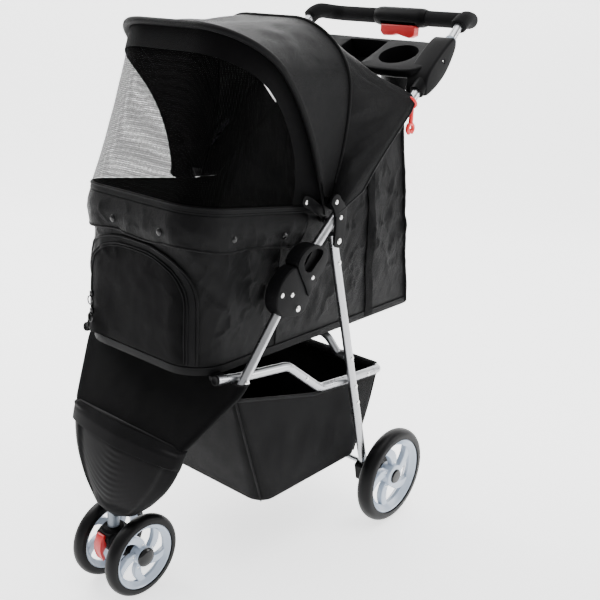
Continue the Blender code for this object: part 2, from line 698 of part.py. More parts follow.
def make_rear_frame(rear):
    for side in ("left", "right"):
        s = side_sign(side)
        top = along(LEG_PIVOT, -LEG_SLOPE, -0.011)
        leg = tube("rear_leg_" + side, [(s * FRAME_X, *top), (s * FRAME_X, *LEG_LOW)], "steel_tube", rear)
        cut(leg, bore("leg_hole_" + side, LEG_PIVOT, PIN_R + GAP, *spread(s, 0.15, 0.21), rear))
        make_axle_housing(side, rear)
    reach = REAR_WHEEL_X + REAR_WHEEL_W / 2 - 0.004
    turned_x("rear_axle", [(-reach, AXLE_R), (reach, AXLE_R)], (0, REAR_AXLE_Y, REAR_WHEEL_R),
             "steel_tube", rear, 16)
    brace_y, brace_z = at_height(LEG_PIVOT, -LEG_SLOPE, 0.372)
    end = FRAME_X - TUBE_R * math.cos(math.pi / SIDES) - GAP
    top = CABIN_FLOOR - BRACE_CLEAR - BRACE_R
    points = [(end, brace_y, brace_z), (end - 0.016, brace_y, brace_z), (0.128, brace_y - 0.006, top), (0, brace_y - 0.006, top)]
    left = rounded_path(points, 0.05, 3)
    path = left[:-1] + [Vector((-p.x, p.y, p.z)) for p in left[::-1]]
    tube("cross_brace", path, "steel_tube", rear, radius=BRACE_R, wall=0.0013)


def make_axle_housing(side, rear):
    """Moulded shoe between the rear leg's foot and the axle."""
    s = side_sign(side)
    y, z = LEG_LOW
    outline = [(y - 0.022, z + 0.020), (y - 0.004, z + 0.032), (y + 0.016, z + 0.024),
               (REAR_AXLE_Y + 0.010, REAR_WHEEL_R + 0.012), (REAR_AXLE_Y + 0.012, REAR_WHEEL_R - 0.008),
               (REAR_AXLE_Y - 0.004, REAR_WHEEL_R - 0.014), (y - 0.014, z - 0.014)]
    x0, x1 = spread(s, FRAME_X - 0.0110, FRAME_X + 0.0108)
    shoe = slab("axle_housing_" + side, outline, x0, x1, "black_plastic", rear, bevel=0.002)
    socket_top = at_height(LEG_PIVOT, -LEG_SLOPE, 0.200)
    socket_low = along(LEG_LOW, -LEG_SLOPE, GAP)
    cut(shoe, rod("leg_socket_" + side, [(s * FRAME_X, *socket_top), (s * FRAME_X, *socket_low)], None,
                  rear, TUBE_R + GAP))
    cut(shoe, bore("axle_hole_" + side, (REAR_AXLE_Y, REAR_WHEEL_R), AXLE_R + GAP,
                   *spread(s, 0.15, 0.21), rear))


BRAKE_HUB = 0.0065


def brake_axis():
    """(y, z) of the brake pedals' hinge, just behind the axle shoes."""
    return REAR_AXLE_Y + 0.0112 + GAP + BRAKE_HUB, REAR_WHEEL_R + 0.002


def make_brake(side, pedal):
    """Foot lever behind the rear axle shoe."""
    s = side_sign(side)
    y, z = brake_axis()
    outline = (arc_points((y, z), BRAKE_HUB, 90, 250, 5)
               + [(y + 0.012, z - 0.010), (y + 0.034, z - 0.0045), (y + 0.036, z + 0.001), (y + 0.012, z + 0.001)])
    x0, x1 = spread(s, FRAME_X - 0.030, FRAME_X + 0.0100)
    slab("brake_pedal_" + side, outline, x0, x1, "black_plastic", pedal, bevel=0.0012)


# ---------------------------------------------------------------- basket frame and cabin
def make_seat_frame(seat):
    for side in ("left", "right"):
        s = side_sign(side)
        corners = [(s * SEAT_X, 0.052, 0.4172), (s * SEAT_X, *SEAT_PIVOT), (s * SEAT_X, 0.221, 0.3925),
                   (s * SEAT_X, 0.312, 0.3245), (s * SEAT_X, *BASKET_PIVOT), (s * SEAT_X, 0.470, 0.3105)]
        rail = tube("seat_rail_" + side, rounded_path(corners, 0.045, 3), "steel_tube", seat)
        cut(rail, bore("rail_hole_" + side, SEAT_PIVOT, PIN_R + RUN, *spread(s, 0.14, 0.21), seat))
    points = [(SEAT_X, 0.470 + 2 * GAP, 0.3105), (SEAT_X, 0.497, 0.3083), (0, 0.497, 0.3083)]
    left = rounded_path(points, 0.026, 4)[:-1]
    tube("basket_cross_bar", left + [Vector((-p.x, p.y, p.z)) for p in left[::-1]], "steel_tube", seat)
    make_basket(seat)
    make_cabin(seat)


def make_basket(seat):
    """Fabric bag under the basket frame, open at its top."""
    top_front, top_rear = 0.098, 0.4960
    low_front, low_rear = 0.164, 0.4355
    rim = ((top_front, 0.368), (0.300, 0.3158), (top_rear, 0.2998))

    def row_points(level, inset):
        """Ring of the bag's wall; level runs from 1 at the rim to 0 at the floor."""
        half = BASKET_HALF - 0.010 * (1 - level) - inset
        front = low_front + (top_front - low_front) * level + inset
        rear = low_rear + (top_rear - low_rear) * level - inset
        floor = BASKET_BOTTOM + (BASKET_WALL if inset else 0.0)
        side = []
        for k in range(7):
            y = front + (rear - front) * k / 6
            z = between(rim, top_front + (top_rear - top_front) * k / 6)
            side.append((half, y, floor + (z - floor) * level))
        return side + [(-x, y, z) for x, y, z in side[::-1]]

    bm = bmesh.new()
    rings = [[bm.verts.new(p) for p in row_points(level, inset)]
             for level, inset in ((0.0, 0.0), (0.5, 0.0), (1.0, 0.0), (1.0, BASKET_WALL),
                                  (0.5, BASKET_WALL), (0.0, BASKET_WALL))]
    skin(bm, rings)
    bm.faces.new(rings[0][::-1])
    bm.faces.new(rings[-1])
    bmesh.ops.recalc_face_normals(bm, faces=bm.faces)
    finish("basket", bm, "polyester", seat)


def cabin_outline(inset, corner_steps=5, side_steps=8):
    """Plan outline of the cabin from the rear left round the front to the rear right."""
    half = CABIN_HALF - inset
    front = CABIN_FRONT + inset
    r = CABIN_CORNER - inset
    side = [(half, CABIN_REAR - inset + (front + r - CABIN_REAR + inset) * k / side_steps)
            for k in range(side_steps)]
    arc = [(half - r + r * math.cos(math.radians(a)), front + r - r * math.sin(math.radians(a)))
           for a in (90 * k / corner_steps for k in range(corner_steps + 1))]
    left = side + arc
    return left + [(-x, y) for x, y in left[::-1]]


def rim_z(y):
    """Height of the cabin wall's top edge at a distance y."""
    return between(((CABIN_FRONT, CABIN_RIM), (0.290, 0.657), (0.345, 0.655), (CABIN_REAR, CABIN_TOP[1])), y)


def lean(y, z):
    """Rear stretch of the cabin leans forward as it rises."""
    if y <= 0.345:
        return y
    share = (y - 0.345) / (CABIN_REAR - 0.345)
    rise = (z - CABIN_FLOOR) / (CABIN_TOP[1] - CABIN_FLOOR)
    return y - share * rise * (CABIN_REAR - CABIN_TOP[0])


def make_cabin(seat):
    bm = bmesh.new()
    rows = []
    for level, inset in ((0.0, 0.0), (0.5, 0.0), (1.0, 0.0), (1.0, CABIN_WALL), (0.5, CABIN_WALL),
                         (0.0, CABIN_WALL)):
        row = []
        for x, y in cabin_outline(inset):
            bottom = CABIN_FLOOR + (CABIN_WALL if inset else 0.0)
            z = bottom + (rim_z(y + inset * (y > 0.5)) - bottom) * level
            row.append(bm.verts.new((x, lean(y, z), z)))
        rows.append(row)
    skin(bm, rows)
    bm.faces.new(rows[0][::-1])
    bm.faces.new(rows[-1])
    bmesh.ops.recalc_face_normals(bm, faces=bm.faces)
    tub = finish("cabin", bm, "polyester", seat)
    hole_half = DOOR_HALF + 0.0008
    doorway = block("doorway", (0, CABIN_FRONT, (DOOR_Z[0] + DOOR_Z[1]) / 2),
                    (2 * hole_half, 0.02, DOOR_Z[1] - DOOR_Z[0] + 0.0016), None, seat)
    cut(tub, doorway)
    clip_y = 0.0675
    clip_out = SEAT_X - TUBE_R * math.cos(math.pi / SIDES) - GAP
    clip_in = CABIN_HALF - 0.0080
    for side in ("left", "right"):
        centre = (side_sign(side) * (clip_in + clip_out) / 2, clip_y, CABIN_FLOOR - 0.0020)
        join(tub, block("clip_" + side, centre, (clip_out - clip_in, 0.018, 0.009), None, seat))
    inside = CABIN_WALL + 0.0010
    bm = bmesh.new()
    board_z = CABIN_FLOOR + CABIN_WALL + GAP
    rings = []
    for z in (board_z, board_z + 0.0050):
        rings.append([bm.verts.new((x, lean(y, z), z)) for x, y in cabin_outline(inside)])
    skin(bm, rings)
    bm.faces.new(rings[0][::-1])
    bm.faces.new(rings[1])
    bmesh.ops.recalc_face_normals(bm, faces=bm.faces)
    finish("floor_board", bm, "board", seat, smooth=False)
    pad_z = board_z + 0.0050 + GAP
    bm = bmesh.new()
    rings = []
    for z, extra in ((pad_z, 0.006), (pad_z + 0.010, 0.003), (pad_z + 0.018, 0.010)):
        rings.append([bm.verts.new((x, lean(y, z), z)) for x, y in cabin_outline(inside + extra)])
    skin(bm, rings)
    bm.faces.new(rings[0][::-1])
    bm.faces.new(rings[-1])
    bmesh.ops.recalc_face_normals(bm, faces=bm.faces)
    finish("floor_pad", bm, "pad_fabric", seat)


def make_door(door):
    """Zipped front door, hinged along its bottom edge."""
    low, high = DOOR_Z
    block("front_door", (0, CABIN_FRONT + CABIN_WALL / 2, (low + high) / 2),
          (2 * DOOR_HALF, CABIN_WALL, high - low), "polyester", door)


# ---------------------------------------------------------------- canopy
def bow_point(bow, t, grow=0.0, shift=0.0):
    """Point on a bow; t runs from 0 at the left pivot over the crown to 1 at the right pivot."""
    half, rise = bow["x"], bow["rise"]
    straight = rise - BOW_CORNER - BOW_START
    arc = BOW_CORNER * math.pi / 2
    flat = half - BOW_CORNER
    d = (t if t <= 0.5 else 1 - t) * 2 * (straight + arc + flat)
    a = min(max((d - straight) / BOW_CORNER, 0.0), math.pi / 2)
    x = half - BOW_CORNER + BOW_CORNER * math.cos(a) - max(0.0, d - straight - arc)
    r = rise - BOW_CORNER + BOW_CORNER * math.sin(a) + min(0.0, d - straight)
    angle = bow["angle"] - BOW_BEND * (1 - (r / rise) ** 2)
    x, r = x + grow * math.cos(a), r + grow * math.sin(a)
    return (x if t <= 0.5 else -x, CANOPY_PIVOT[0] + r * math.cos(angle) + shift,
            CANOPY_PIVOT[1] + r * math.sin(angle))


def bow_row(bow, grow=0.0, shift=0.0):
    """Row of points over a bow between its bare ends."""
    span = 1 - 2 * CANOPY_TRIM
    return [bow_point(bow, CANOPY_TRIM + span * k / BOW_STEPS, grow, shift) for k in range(BOW_STEPS + 1)]


def make_bow(name, bow, owner):
    """Hoop with a round eye at each foot, on the canopy's pivot axis."""
    path = [bow_point(bow, 0.0)] + bow_row(bow) + [bow_point(bow, 1.0)]
    hoop = rod(name, path, "black_plastic", owner, BOW_R, 8)
    for side in ("left", "right"):
        x0, x1 = spread(side_sign(side), bow["x"] - BOW_R, bow["x"] + BOW_R)
        join(hoop, bore(f"{name}_eye_{side}", CANOPY_PIVOT, BOW_START + 0.0016, x0, x1, owner, 16))
    return hoop


def rear_edge(count):
    """Canopy's rear hem: up the cabin's sloping side edge and across its rear top."""
    y0, z0 = 0.352, 0.6628
    y1, z1 = CABIN_TOP[0] + 0.001, CABIN_TOP[1] + 0.0034
    half = CABIN_HALF + 0.0010
    slope = math.hypot(y1 - y0, z1 - z0)
    total = slope + half
    points = []
    for k in range(count + 1):
        t = k / count
        d = (t if t <= 0.5 else 1 - t) * 2 * total
        sign = 1 if t <= 0.5 else -1
        if d <= slope:
            f = d / slope
            points.append((sign * half, y0 + (y1 - y0) * f, z0 + (z1 - z0) * f))
        else:
            points.append((sign * (half - (d - slope)), y1, z1))
    return points


def blended(first, second, share, puff=0.0):
    """Row between two rows; puff lifts its middle outwards."""
    row = []
    for a, b in zip(first, second):
        p = Vector(a).lerp(Vector(b), share)
        row.append(p + Vector((0, 0, puff * math.sin(math.pi * share))))
    return row


def make_canopy_rear(seat):
    rows = [blended(bow_row(REAR_BOW, CANOPY_LIFT, 0.0010), rear_edge(BOW_STEPS), share)
            for share in (0.0, 0.34, 0.67, 1.0)]
    loft("canopy_rear", rows, "polyester", seat, CANOPY_WALL)
    hoop = make_bow("rear_bow", REAR_BOW, seat)
    for side in ("left", "right"):
        x0, x1 = spread(side_sign(side), CABIN_HALF + GAP, FRONT_BOW["x"] + BOW_R + 0.0035)
        join(hoop, bore("bow_pin_" + side, CANOPY_PIVOT, PIN_R, x0, x1, seat))


def make_canopy_front(bow_body):
    """Front bow with the hood between the bows and the mesh window below it."""
    hoop = make_bow("front_bow", FRONT_BOW, bow_body)
    for side in ("left", "right"):
        cut(hoop, bore("pin_hole_" + side, CANOPY_PIVOT, PIN_R + GAP, *spread(side_sign(side), 0.13, 0.19),
                       bow_body))
    front = bow_row(FRONT_BOW, CANOPY_LIFT)
    back = bow_row(REAR_BOW, CANOPY_LIFT, -0.0010)
    loft("canopy_hood", [blended(front, back, s, 0.006) for s in (0.0, 0.34, 0.67, 1.0)], "polyester",
         bow_body, CANOPY_WALL)
    top = bow_row(FRONT_BOW, -(BOW_R + MESH_WALL / 2 + GAP))
    rim = []
    outline = [p for p in cabin_outline(0.0) if p[1] < 0.280]
    outline = [(outline[0][0], 0.270)] + outline + [(-outline[0][0], 0.270)]
    lengths = [0.0]
    for a, b in zip(outline, outline[1:]):
        lengths.append(lengths[-1] + math.hypot(b[0] - a[0], b[1] - a[1]))
    for k in range(BOW_STEPS + 1):
        d = lengths[-1] * k / BOW_STEPS
        i = max(j for j in range(len(lengths) - 1) if lengths[j] <= d + 1e-9)
        f = (d - lengths[i]) / (lengths[i + 1] - lengths[i])
        x = outline[i][0] + (outline[i + 1][0] - outline[i][0]) * f
        y = outline[i][1] + (outline[i + 1][1] - outline[i][1]) * f
        rim.append((x * 0.994, y, rim_z(y) + 0.0012))
    loft("mesh_window", [blended(top, rim, s) for s in (0.0, 0.34, 0.67, 1.0)], "mesh", bow_body, MESH_WALL)


def hook_axis():
    """(y, z) where the transport hook hangs on the left upper tube."""
    return on_upper(0.428)


def make_hook(hook):
    """Plastic hook: a split ring round the upper tube, a shank and a lower catch."""
    y, z = hook_axis()
    radius = TUBE_R + GAP + HOOK_R
    ring = []
    for step in range(15):
        a = math.radians(-98 + 273 * step / 14)
        lift = radius * math.sin(a)
        ring.append((FRAME_X + radius * math.cos(a), y - lift * math.sin(UPPER_SLOPE),
                     z + lift * math.cos(UPPER_SLOPE)))
    piece = rod("transport_hook", ring, "hook_plastic", hook, HOOK_R, 8)
    foot_y, foot_z = y + radius * math.sin(UPPER_SLOPE), z - radius * math.cos(UPPER_SLOPE)
    shank = [(FRAME_X, foot_y, foot_z), (FRAME_X, foot_y, foot_z - 0.031)]
    join(piece, rod("hook_shank", shank, None, hook, 0.0033, 8))
    catch = [(FRAME_X, *p) for p in arc_points((foot_y, foot_z - 0.038), 0.0085, -60, 250, 12)]
    join(piece, rod("hook_catch", catch, None, hook, 0.0027, 8))


# ---------------------------------------------------------------- assembly
def main():
    clear_scene()
    stroller = body("stroller", (0.0, 0.0, 0.0), None)
    stroller.location = (0.0, -MIDDLE_Y, 0.0)
    front = body("front_frame", (0.0, 0.0, 0.0), stroller)
    caster = body("caster", (0.0, SWIVEL_Y, 0.118), front)
    upper = body("handle_frame", (0.0, *FOLD_PIVOT), front)
    rear = body("rear_frame", (0.0, *LEG_PIVOT), upper)
    seat = body("cabin_frame", (0.0, *SEAT_PIVOT), front)
    make_front_frame(front)
    make_caster(caster)
    lever = body("swivel_lock", (0.0, SWIVEL_Y - 0.022, 0.1065), caster)
    make_swivel_lock(lever)
    make_upper_frame(upper)
    trigger = body("trigger", (0.0, HANDLE_Y - 0.006, HANDLE_Z - 0.020), upper)
    make_trigger(trigger)
    make_rear_frame(rear)
    make_seat_frame(seat)
    make_canopy_rear(seat)
    make_canopy_front(body("canopy_bow", (0.0, *CANOPY_PIVOT), seat))
    make_door(body("door", (0.0, CABIN_FRONT, DOOR_Z[0]), seat))
    make_hook(body("hook", (FRAME_X, *hook_axis()), upper))
    for side in ("left", "right"):
        s = side_sign(side)
        spin = body("front_spin_" + side, (s * FRONT_WHEEL_X, 0.0, FRONT_WHEEL_R), caster)
        make_wheel("front_" + side, s * FRONT_WHEEL_X, 0.0, FRONT_WHEEL_R, FRONT_WHEEL_W, spin)
        spin = body("rear_spin_" + side, (s * REAR_WHEEL_X, REAR_AXLE_Y, REAR_WHEEL_R), rear)
        make_wheel("rear_" + side, s * REAR_WHEEL_X, REAR_AXLE_Y, REAR_WHEEL_R, REAR_WHEEL_W, spin)
        make_brake(side, body("brake_" + side, (s * FRAME_X, *brake_axis()), rear))
        make_latch(side, body("latch_" + side, (s * FRAME_X, *on_upper(0.05)), upper))


main()
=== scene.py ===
"""Finished look of a three-wheel folding pet stroller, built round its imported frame.

Every length is in metres.  Pieces are shaped in the frame builder's own coordinates, where y is
measured from the front wheel axle, and settle() carries each one to its place over the floor.
"""

import json
import math

import bpy
from mathutils import Matrix, Quaternion, Vector, noise

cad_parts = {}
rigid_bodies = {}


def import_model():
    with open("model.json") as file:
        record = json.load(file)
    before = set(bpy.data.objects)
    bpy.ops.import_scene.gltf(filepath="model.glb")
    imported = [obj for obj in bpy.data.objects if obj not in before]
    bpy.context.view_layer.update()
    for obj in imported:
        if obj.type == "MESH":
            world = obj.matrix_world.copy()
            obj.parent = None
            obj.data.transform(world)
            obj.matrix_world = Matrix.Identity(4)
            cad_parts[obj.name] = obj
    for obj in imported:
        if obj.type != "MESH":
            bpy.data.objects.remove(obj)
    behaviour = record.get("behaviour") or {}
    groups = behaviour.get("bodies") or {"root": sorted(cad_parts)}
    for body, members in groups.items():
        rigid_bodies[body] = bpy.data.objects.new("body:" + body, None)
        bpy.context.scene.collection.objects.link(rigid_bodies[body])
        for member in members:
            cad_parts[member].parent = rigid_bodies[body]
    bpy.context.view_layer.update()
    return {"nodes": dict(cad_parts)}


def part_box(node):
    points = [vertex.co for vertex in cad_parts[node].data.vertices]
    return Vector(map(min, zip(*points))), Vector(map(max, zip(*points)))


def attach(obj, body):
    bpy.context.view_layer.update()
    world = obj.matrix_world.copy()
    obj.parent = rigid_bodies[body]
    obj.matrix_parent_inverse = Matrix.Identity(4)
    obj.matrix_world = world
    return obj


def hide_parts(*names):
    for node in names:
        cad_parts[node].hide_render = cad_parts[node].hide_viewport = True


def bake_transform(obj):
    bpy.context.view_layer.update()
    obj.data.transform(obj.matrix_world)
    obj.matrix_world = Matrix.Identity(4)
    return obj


bl_info = {
    "name": "Folding Pet Stroller",
    "version": (1, 0, 0),
    "blender": (4, 5, 0),
    "location": "3D View > Sidebar > Stroller",
    "description": "Dresses the packed stroller frame with tubes, mouldings, wheels and fabric",
    "category": "Add Mesh",
}

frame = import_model()

# ---------------------------------------------------------------- sizes shared by several pieces
SHIFT = Vector((0.0, -0.33075, 0.0))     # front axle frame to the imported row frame
TUBE_R = 0.0080
FRAME_X = 0.1784
SEAT_X = 0.1610
FOLD_PIVOT = (0.203, 0.508)
SEAT_PIVOT = (0.095, 0.408)
LEG_PIVOT = (0.303, 0.603)
CANOPY_PIVOT = (0.305, 0.633)
FRONT_LEG_SLOPE = math.radians(52.2)
UPPER_SLOPE = math.radians(42.0)
LEG_SLOPE = math.radians(73.5)
LOCK_SLOPE = math.radians(47.0)

CABIN_HALF, CABIN_FRONT, CABIN_REAR = 0.1435, 0.026, 0.598
CABIN_FLOOR, CABIN_CORNER = 0.417, 0.062
CABIN_TOP = (0.530, 0.800)
RIM_MARKS = ((0.026, 0.687), (0.290, 0.657), (0.345, 0.655), (0.598, 0.800))
FRONT_FLAT = CABIN_HALF - CABIN_CORNER
CORNER_RUN = CABIN_CORNER * math.pi / 2
SIDE_RUN = CABIN_REAR - CABIN_FRONT - CABIN_CORNER

FRONT_BOW = {"x": 0.1575, "rise": 0.367, "angle": math.radians(124.5)}
REAR_BOW = {"x": 0.1500, "rise": 0.313, "angle": math.radians(86.5)}
BOW_BEND, BOW_CORNER, BOW_START = math.radians(18.0), 0.098, 0.010
CANOPY_TRIM = 0.065

HANDLE_Y, HANDLE_Z, HANDLE_HALF = 0.716, 0.955, 0.163
TRAY_AT, TRAY_TILT = (0.570, 0.893), math.radians(24.0)
CUP_X, CUP_R = 0.098, 0.0375
SIDES = (("left", 1), ("right", -1))

CLOTH_WALL = 0.0013                      # two layers of coated polyester
SOFT_ANGLE = 60                          # degrees up to which cloth shades smooth
FRONT_WHEEL_R, REAR_WHEEL_R, REAR_AXLE_Y = 0.073, 0.095, 0.497
AXLE_R, STEM_Y = 0.0050, -0.024
LOCK_FACE = FRAME_X + 0.0142
BASKET_BAR, CUFF_R = (0.497, 0.3083), 0.0098
BASKET_MIDDLE, BASKET_FLOOR = 0.300, 0.1370
DRAPE_END = 0.424                        # how far up the upper tube the rear cloth reaches


# ---------------------------------------------------------------- colour and material nodes
def linear(code, alpha=1.0):
    """sRGB hex code to the linear colour that shaders take."""
    value = int(code.lstrip("#"), 16)
    channels = [((value >> shift) & 255) / 255 for shift in (16, 8, 0)]
    return (*[c / 12.92 if c <= 0.04045 else ((c + 0.055) / 1.055) ** 2.4 for c in channels], alpha)


def add_node(tree, kind, links=(), **settings):
    """Add one shader node, set its inputs and properties, and link (input, socket) pairs to it."""
    made = tree.nodes.new(kind)
    for key, value in settings.items():
        if hasattr(made, key):
            setattr(made, key, value)
        else:
            made.inputs[key.replace("_", " ")].default_value = value
    for target, source in links:
        tree.links.new(source, made.inputs[target])
    return made


def start_material(name, base, roughness, metallic=0.0, **sockets):
    """Principled material with plain sockets; returns it with its tree, shader and coordinates."""
    made = bpy.data.materials.new(name)
    made.use_nodes = True
    tree = made.node_tree
    shader = tree.nodes["Principled BSDF"]
    shader.inputs["Base Color"].default_value = rgba(base)
    shader.inputs["Roughness"].default_value = roughness
    shader.inputs["Metallic"].default_value = metallic
    for key, value in sockets.items():
        shader.inputs[key.replace("_", " ")].default_value = value
    return made, tree, shader, tree.nodes.new("ShaderNodeTexCoord").outputs["Object"]


def rgba(colour, share=1.0):
    """Linear colour from a hex code or a property's value, made darker or lighter by a share."""
    value = linear(colour) if isinstance(colour, str) else (*colour[:3], 1.0)
    return (*[min(1.0, c * share) for c in value[:3]], 1.0)


def tint(tree, shader, factor, dark, light):
    """Base colour that runs from dark to light with a texture's factor."""
    ramp = add_node(tree, "ShaderNodeValToRGB", [("Fac", factor)])
    ramp.color_ramp.elements[0].color = rgba(dark)
    ramp.color_ramp.elements[1].color = rgba(light)
    tree.links.new(ramp.outputs["Color"], shader.inputs["Base Color"])


def relief(tree, shader, height, distance, strength=1.0, under=None):
    """Bump of a real depth in metres, laid over another bump if one is given."""
    links = [("Height", height)] + ([("Normal", under)] if under else [])
    bump = add_node(tree, "ShaderNodeBump", links, Strength=strength, Distance=distance)
    tree.links.new(bump.outputs["Normal"], shader.inputs["Normal"])
    return bump.outputs["Normal"]


def vary_roughness(tree, shader, factor, low, high):
    spread = add_node(tree, "ShaderNodeMapRange", [("Value", factor)], To_Min=low, To_Max=high)
    tree.links.new(spread.outputs["Result"], shader.inputs["Roughness"])


def satin_steel():
    """Zinc plated steel tube, drawn and polished: a bright satin with fine lengthwise lines."""
    made, tree, shader, place = start_material("drawn_satin_steel", "#A9AAAC", 0.30, 1.0)
    lines = add_node(tree, "ShaderNodeTexNoise", [("Vector", place)], Scale=900.0, Detail=2.0)
    cloud = add_node(tree, "ShaderNodeTexNoise", [("Vector", place)], Scale=24.0, Detail=3.0)
    vary_roughness(tree, shader, cloud.outputs["Fac"], 0.20, 0.36)
    tint(tree, shader, cloud.outputs["Fac"], "#9C9DA0", "#B2B3B5")
    relief(tree, shader, lines.outputs["Fac"], 0.00004, 0.6)
    return made


def painted_stem():
    """Powder coated steel stem: smooth grey with the faint orange peel of baked powder."""
    made, tree, shader, place = start_material("grey_powder_coat", "#737B84", 0.33, 0.35)
    peel = add_node(tree, "ShaderNodeTexNoise", [("Vector", place)], Scale=420.0, Detail=1.0)
    relief(tree, shader, peel.outputs["Fac"], 0.00008, 0.5)
    vary_roughness(tree, shader, peel.outputs["Fac"], 0.28, 0.40)
    return made


def rivet_steel():
    """Nickel plated rivet: near mirror, with the swirl of the setting tool."""
    made, tree, shader, place = start_material("nickel_rivet", "#DADAD8", 0.20, 1.0)
    swirl = add_node(tree, "ShaderNodeTexNoise", [("Vector", place)], Scale=700.0, Detail=2.0)
    vary_roughness(tree, shader, swirl.outputs["Fac"], 0.14, 0.30)
    relief(tree, shader, swirl.outputs["Fac"], 0.00003, 0.5)
    return made


def moulded_black():
    """Injection moulded polypropylene: near black, with spark eroded grain about 0.6 mm across."""
    made, tree, shader, place = start_material("grained_polypropylene", "#0A0A0B", 0.44, IOR=1.49)
    shader.inputs["Specular IOR Level"].default_value = 0.06
    grain = add_node(tree, "ShaderNodeTexVoronoi", [("Vector", place)], Scale=1300.0)
    cloud = add_node(tree, "ShaderNodeTexNoise", [("Vector", place)], Scale=30.0, Detail=4.0)
    relief(tree, shader, grain.outputs["Distance"], 0.00009, 0.45)
    tint(tree, shader, cloud.outputs["Fac"], "#070708", "#0D0D0E")
    vary_roughness(tree, shader, cloud.outputs["Fac"], 0.36, 0.52)
    return made


def gloss_black():
    """Polished ABS cap: deep black with a clean shine."""
    made, tree, shader, place = start_material("polished_black_abs", "#080809", 0.20, IOR=1.54)
    shader.inputs["Specular IOR Level"].default_value = 0.25
    cloud = add_node(tree, "ShaderNodeTexNoise", [("Vector", place)], Scale=60.0, Detail=3.0)
    vary_roughness(tree, shader, cloud.outputs["Fac"], 0.10, 0.24)
    return made


def red_moulding(name, dark, light, roughness):
    """Coloured ABS: an even red with the slight flow marks of moulding."""
    made, tree, shader, place = start_material(name, light, roughness, IOR=1.54)
    flow = add_node(tree, "ShaderNodeTexNoise", [("Vector", place)], Scale=45.0, Detail=3.0)
    tint(tree, shader, flow.outputs["Fac"], dark, light)
    fine = add_node(tree, "ShaderNodeTexNoise", [("Vector", place)], Scale=900.0, Detail=1.0)
    relief(tree, shader, fine.outputs["Fac"], 0.00005, 0.4)
    return made


def pale_rim():
    """Glossy nylon wheel: cool pale blue-grey."""
    made, tree, shader, place = start_material("pale_nylon_rim", "#A9B4C4", 0.24, IOR=1.52)
    shader.inputs["Coat Weight"].default_value = 0.25
    shader.inputs["Coat Roughness"].default_value = 0.12
    cloud = add_node(tree, "ShaderNodeTexNoise", [("Vector", place)], Scale=26.0, Detail=3.0)
    tint(tree, shader, cloud.outputs["Fac"], "#9DA9BA", "#B4BFCD")
    vary_roughness(tree, shader, cloud.outputs["Fac"], 0.18, 0.32)
    return made


def foam_tyre():
    """Solid EVA tyre: smooth black skin with a faint pebble where the foam met the mould."""
    made, tree, shader, place = start_material("eva_tyre", "#0A0A0B", 0.38, IOR=1.50)
    shader.inputs["Specular IOR Level"].default_value = 0.12
    pebble = add_node(tree, "ShaderNodeTexVoronoi", [("Vector", place)], Scale=520.0)
    scuff = add_node(tree, "ShaderNodeTexNoise", [("Vector", place)], Scale=38.0, Detail=5.0)
    relief(tree, shader, pebble.outputs["Distance"], 0.00012, 0.35)
    tint(tree, shader, scuff.outputs["Fac"], "#070708", "#0E0E0F")
    vary_roughness(tree, shader, scuff.outputs["Fac"], 0.30, 0.50)
    return made


def foam_grip():
    """Closed cell grip foam: matt, with open pores of about half a millimetre."""
    made, tree, shader, place = start_material("nitrile_grip_foam", "#121213", 0.78, IOR=1.45)
    shader.inputs["Specular IOR Level"].default_value = 0.10
    pores = add_node(tree, "ShaderNodeTexVoronoi", [("Vector", place)], Scale=1100.0)
    relief(tree, shader, pores.outputs["Distance"], 0.00035, 0.7)
    # painted shade: the pore hollows are coloured darker than the foam around them
    tint(tree, shader, pores.outputs["Distance"], "#070708", "#101011")
    return made


def woven(name, dark, light, thread, depth, rough, shine, crumple=0.0034):
    """Plain weave cloth: two crossing sets of threads, soft colour drift and fine creases."""
    made, tree, shader, place = start_material(name, light, rough[1], IOR=1.48)
    shader.inputs["Specular IOR Level"].default_value = shine
    shader.inputs["Sheen Weight"].default_value = 0.01
    shader.inputs["Sheen Roughness"].default_value = 0.45
    turned = add_node(tree, "ShaderNodeMapping", [("Vector", place)],
                      Rotation=(0.0, 0.0, math.radians(38)))
    # one wave every two threads: Blender's wave repeats 2*pi*scale/20 times a metre
    scale = 20.0 / (2 * math.pi * 2 * thread)
    across = add_node(tree, "ShaderNodeTexWave", [("Vector", place)], bands_direction="Z",
                      Scale=scale, Distortion=0.4, Detail=1.0)
    along = add_node(tree, "ShaderNodeTexWave", [("Vector", turned.outputs["Vector"])],
                     bands_direction="X", Scale=scale, Distortion=0.4, Detail=1.0)
    weave = add_node(tree, "ShaderNodeMath", [(0, across.outputs["Fac"]), (1, along.outputs["Fac"])],
                     operation="ADD")
    creases = add_node(tree, "ShaderNodeTexNoise", [("Vector", place)], Scale=26.0, Detail=4.0,
                       Roughness=0.55)
    drift = add_node(tree, "ShaderNodeTexNoise", [("Vector", place)], Scale=7.0, Detail=4.0)
    under = relief(tree, shader, creases.outputs["Fac"], crumple, 0.6)
    relief(tree, shader, weave.outputs["Value"], depth, 0.6, under)
    tint(tree, shader, drift.outputs["Fac"], dark, light)
    vary_roughness(tree, shader, creases.outputs["Fac"], *rough)
    return made


def knit_mesh():
    """Polyester fly mesh: round holes about 1.5 mm apart, drawn at 3 mm so that they show."""
    made, tree, shader, place = start_material("knitted_fly_mesh", "#060606", 0.70, IOR=1.48)
    shader.inputs["Specular IOR Level"].default_value = 0.04
    holes = add_node(tree, "ShaderNodeTexVoronoi", [("Vector", place)], Scale=1.0 / 0.0030,
                     Randomness=0.10)
    open_share = add_node(tree, "ShaderNodeMapRange", [("Value", holes.outputs["Distance"])],
                          From_Min=0.25, From_Max=0.55, To_Min=0.14, To_Max=0.50)
    tree.links.new(open_share.outputs["Result"], shader.inputs["Alpha"])
    relief(tree, shader, holes.outputs["Distance"], 0.0003, 0.5)
    return made


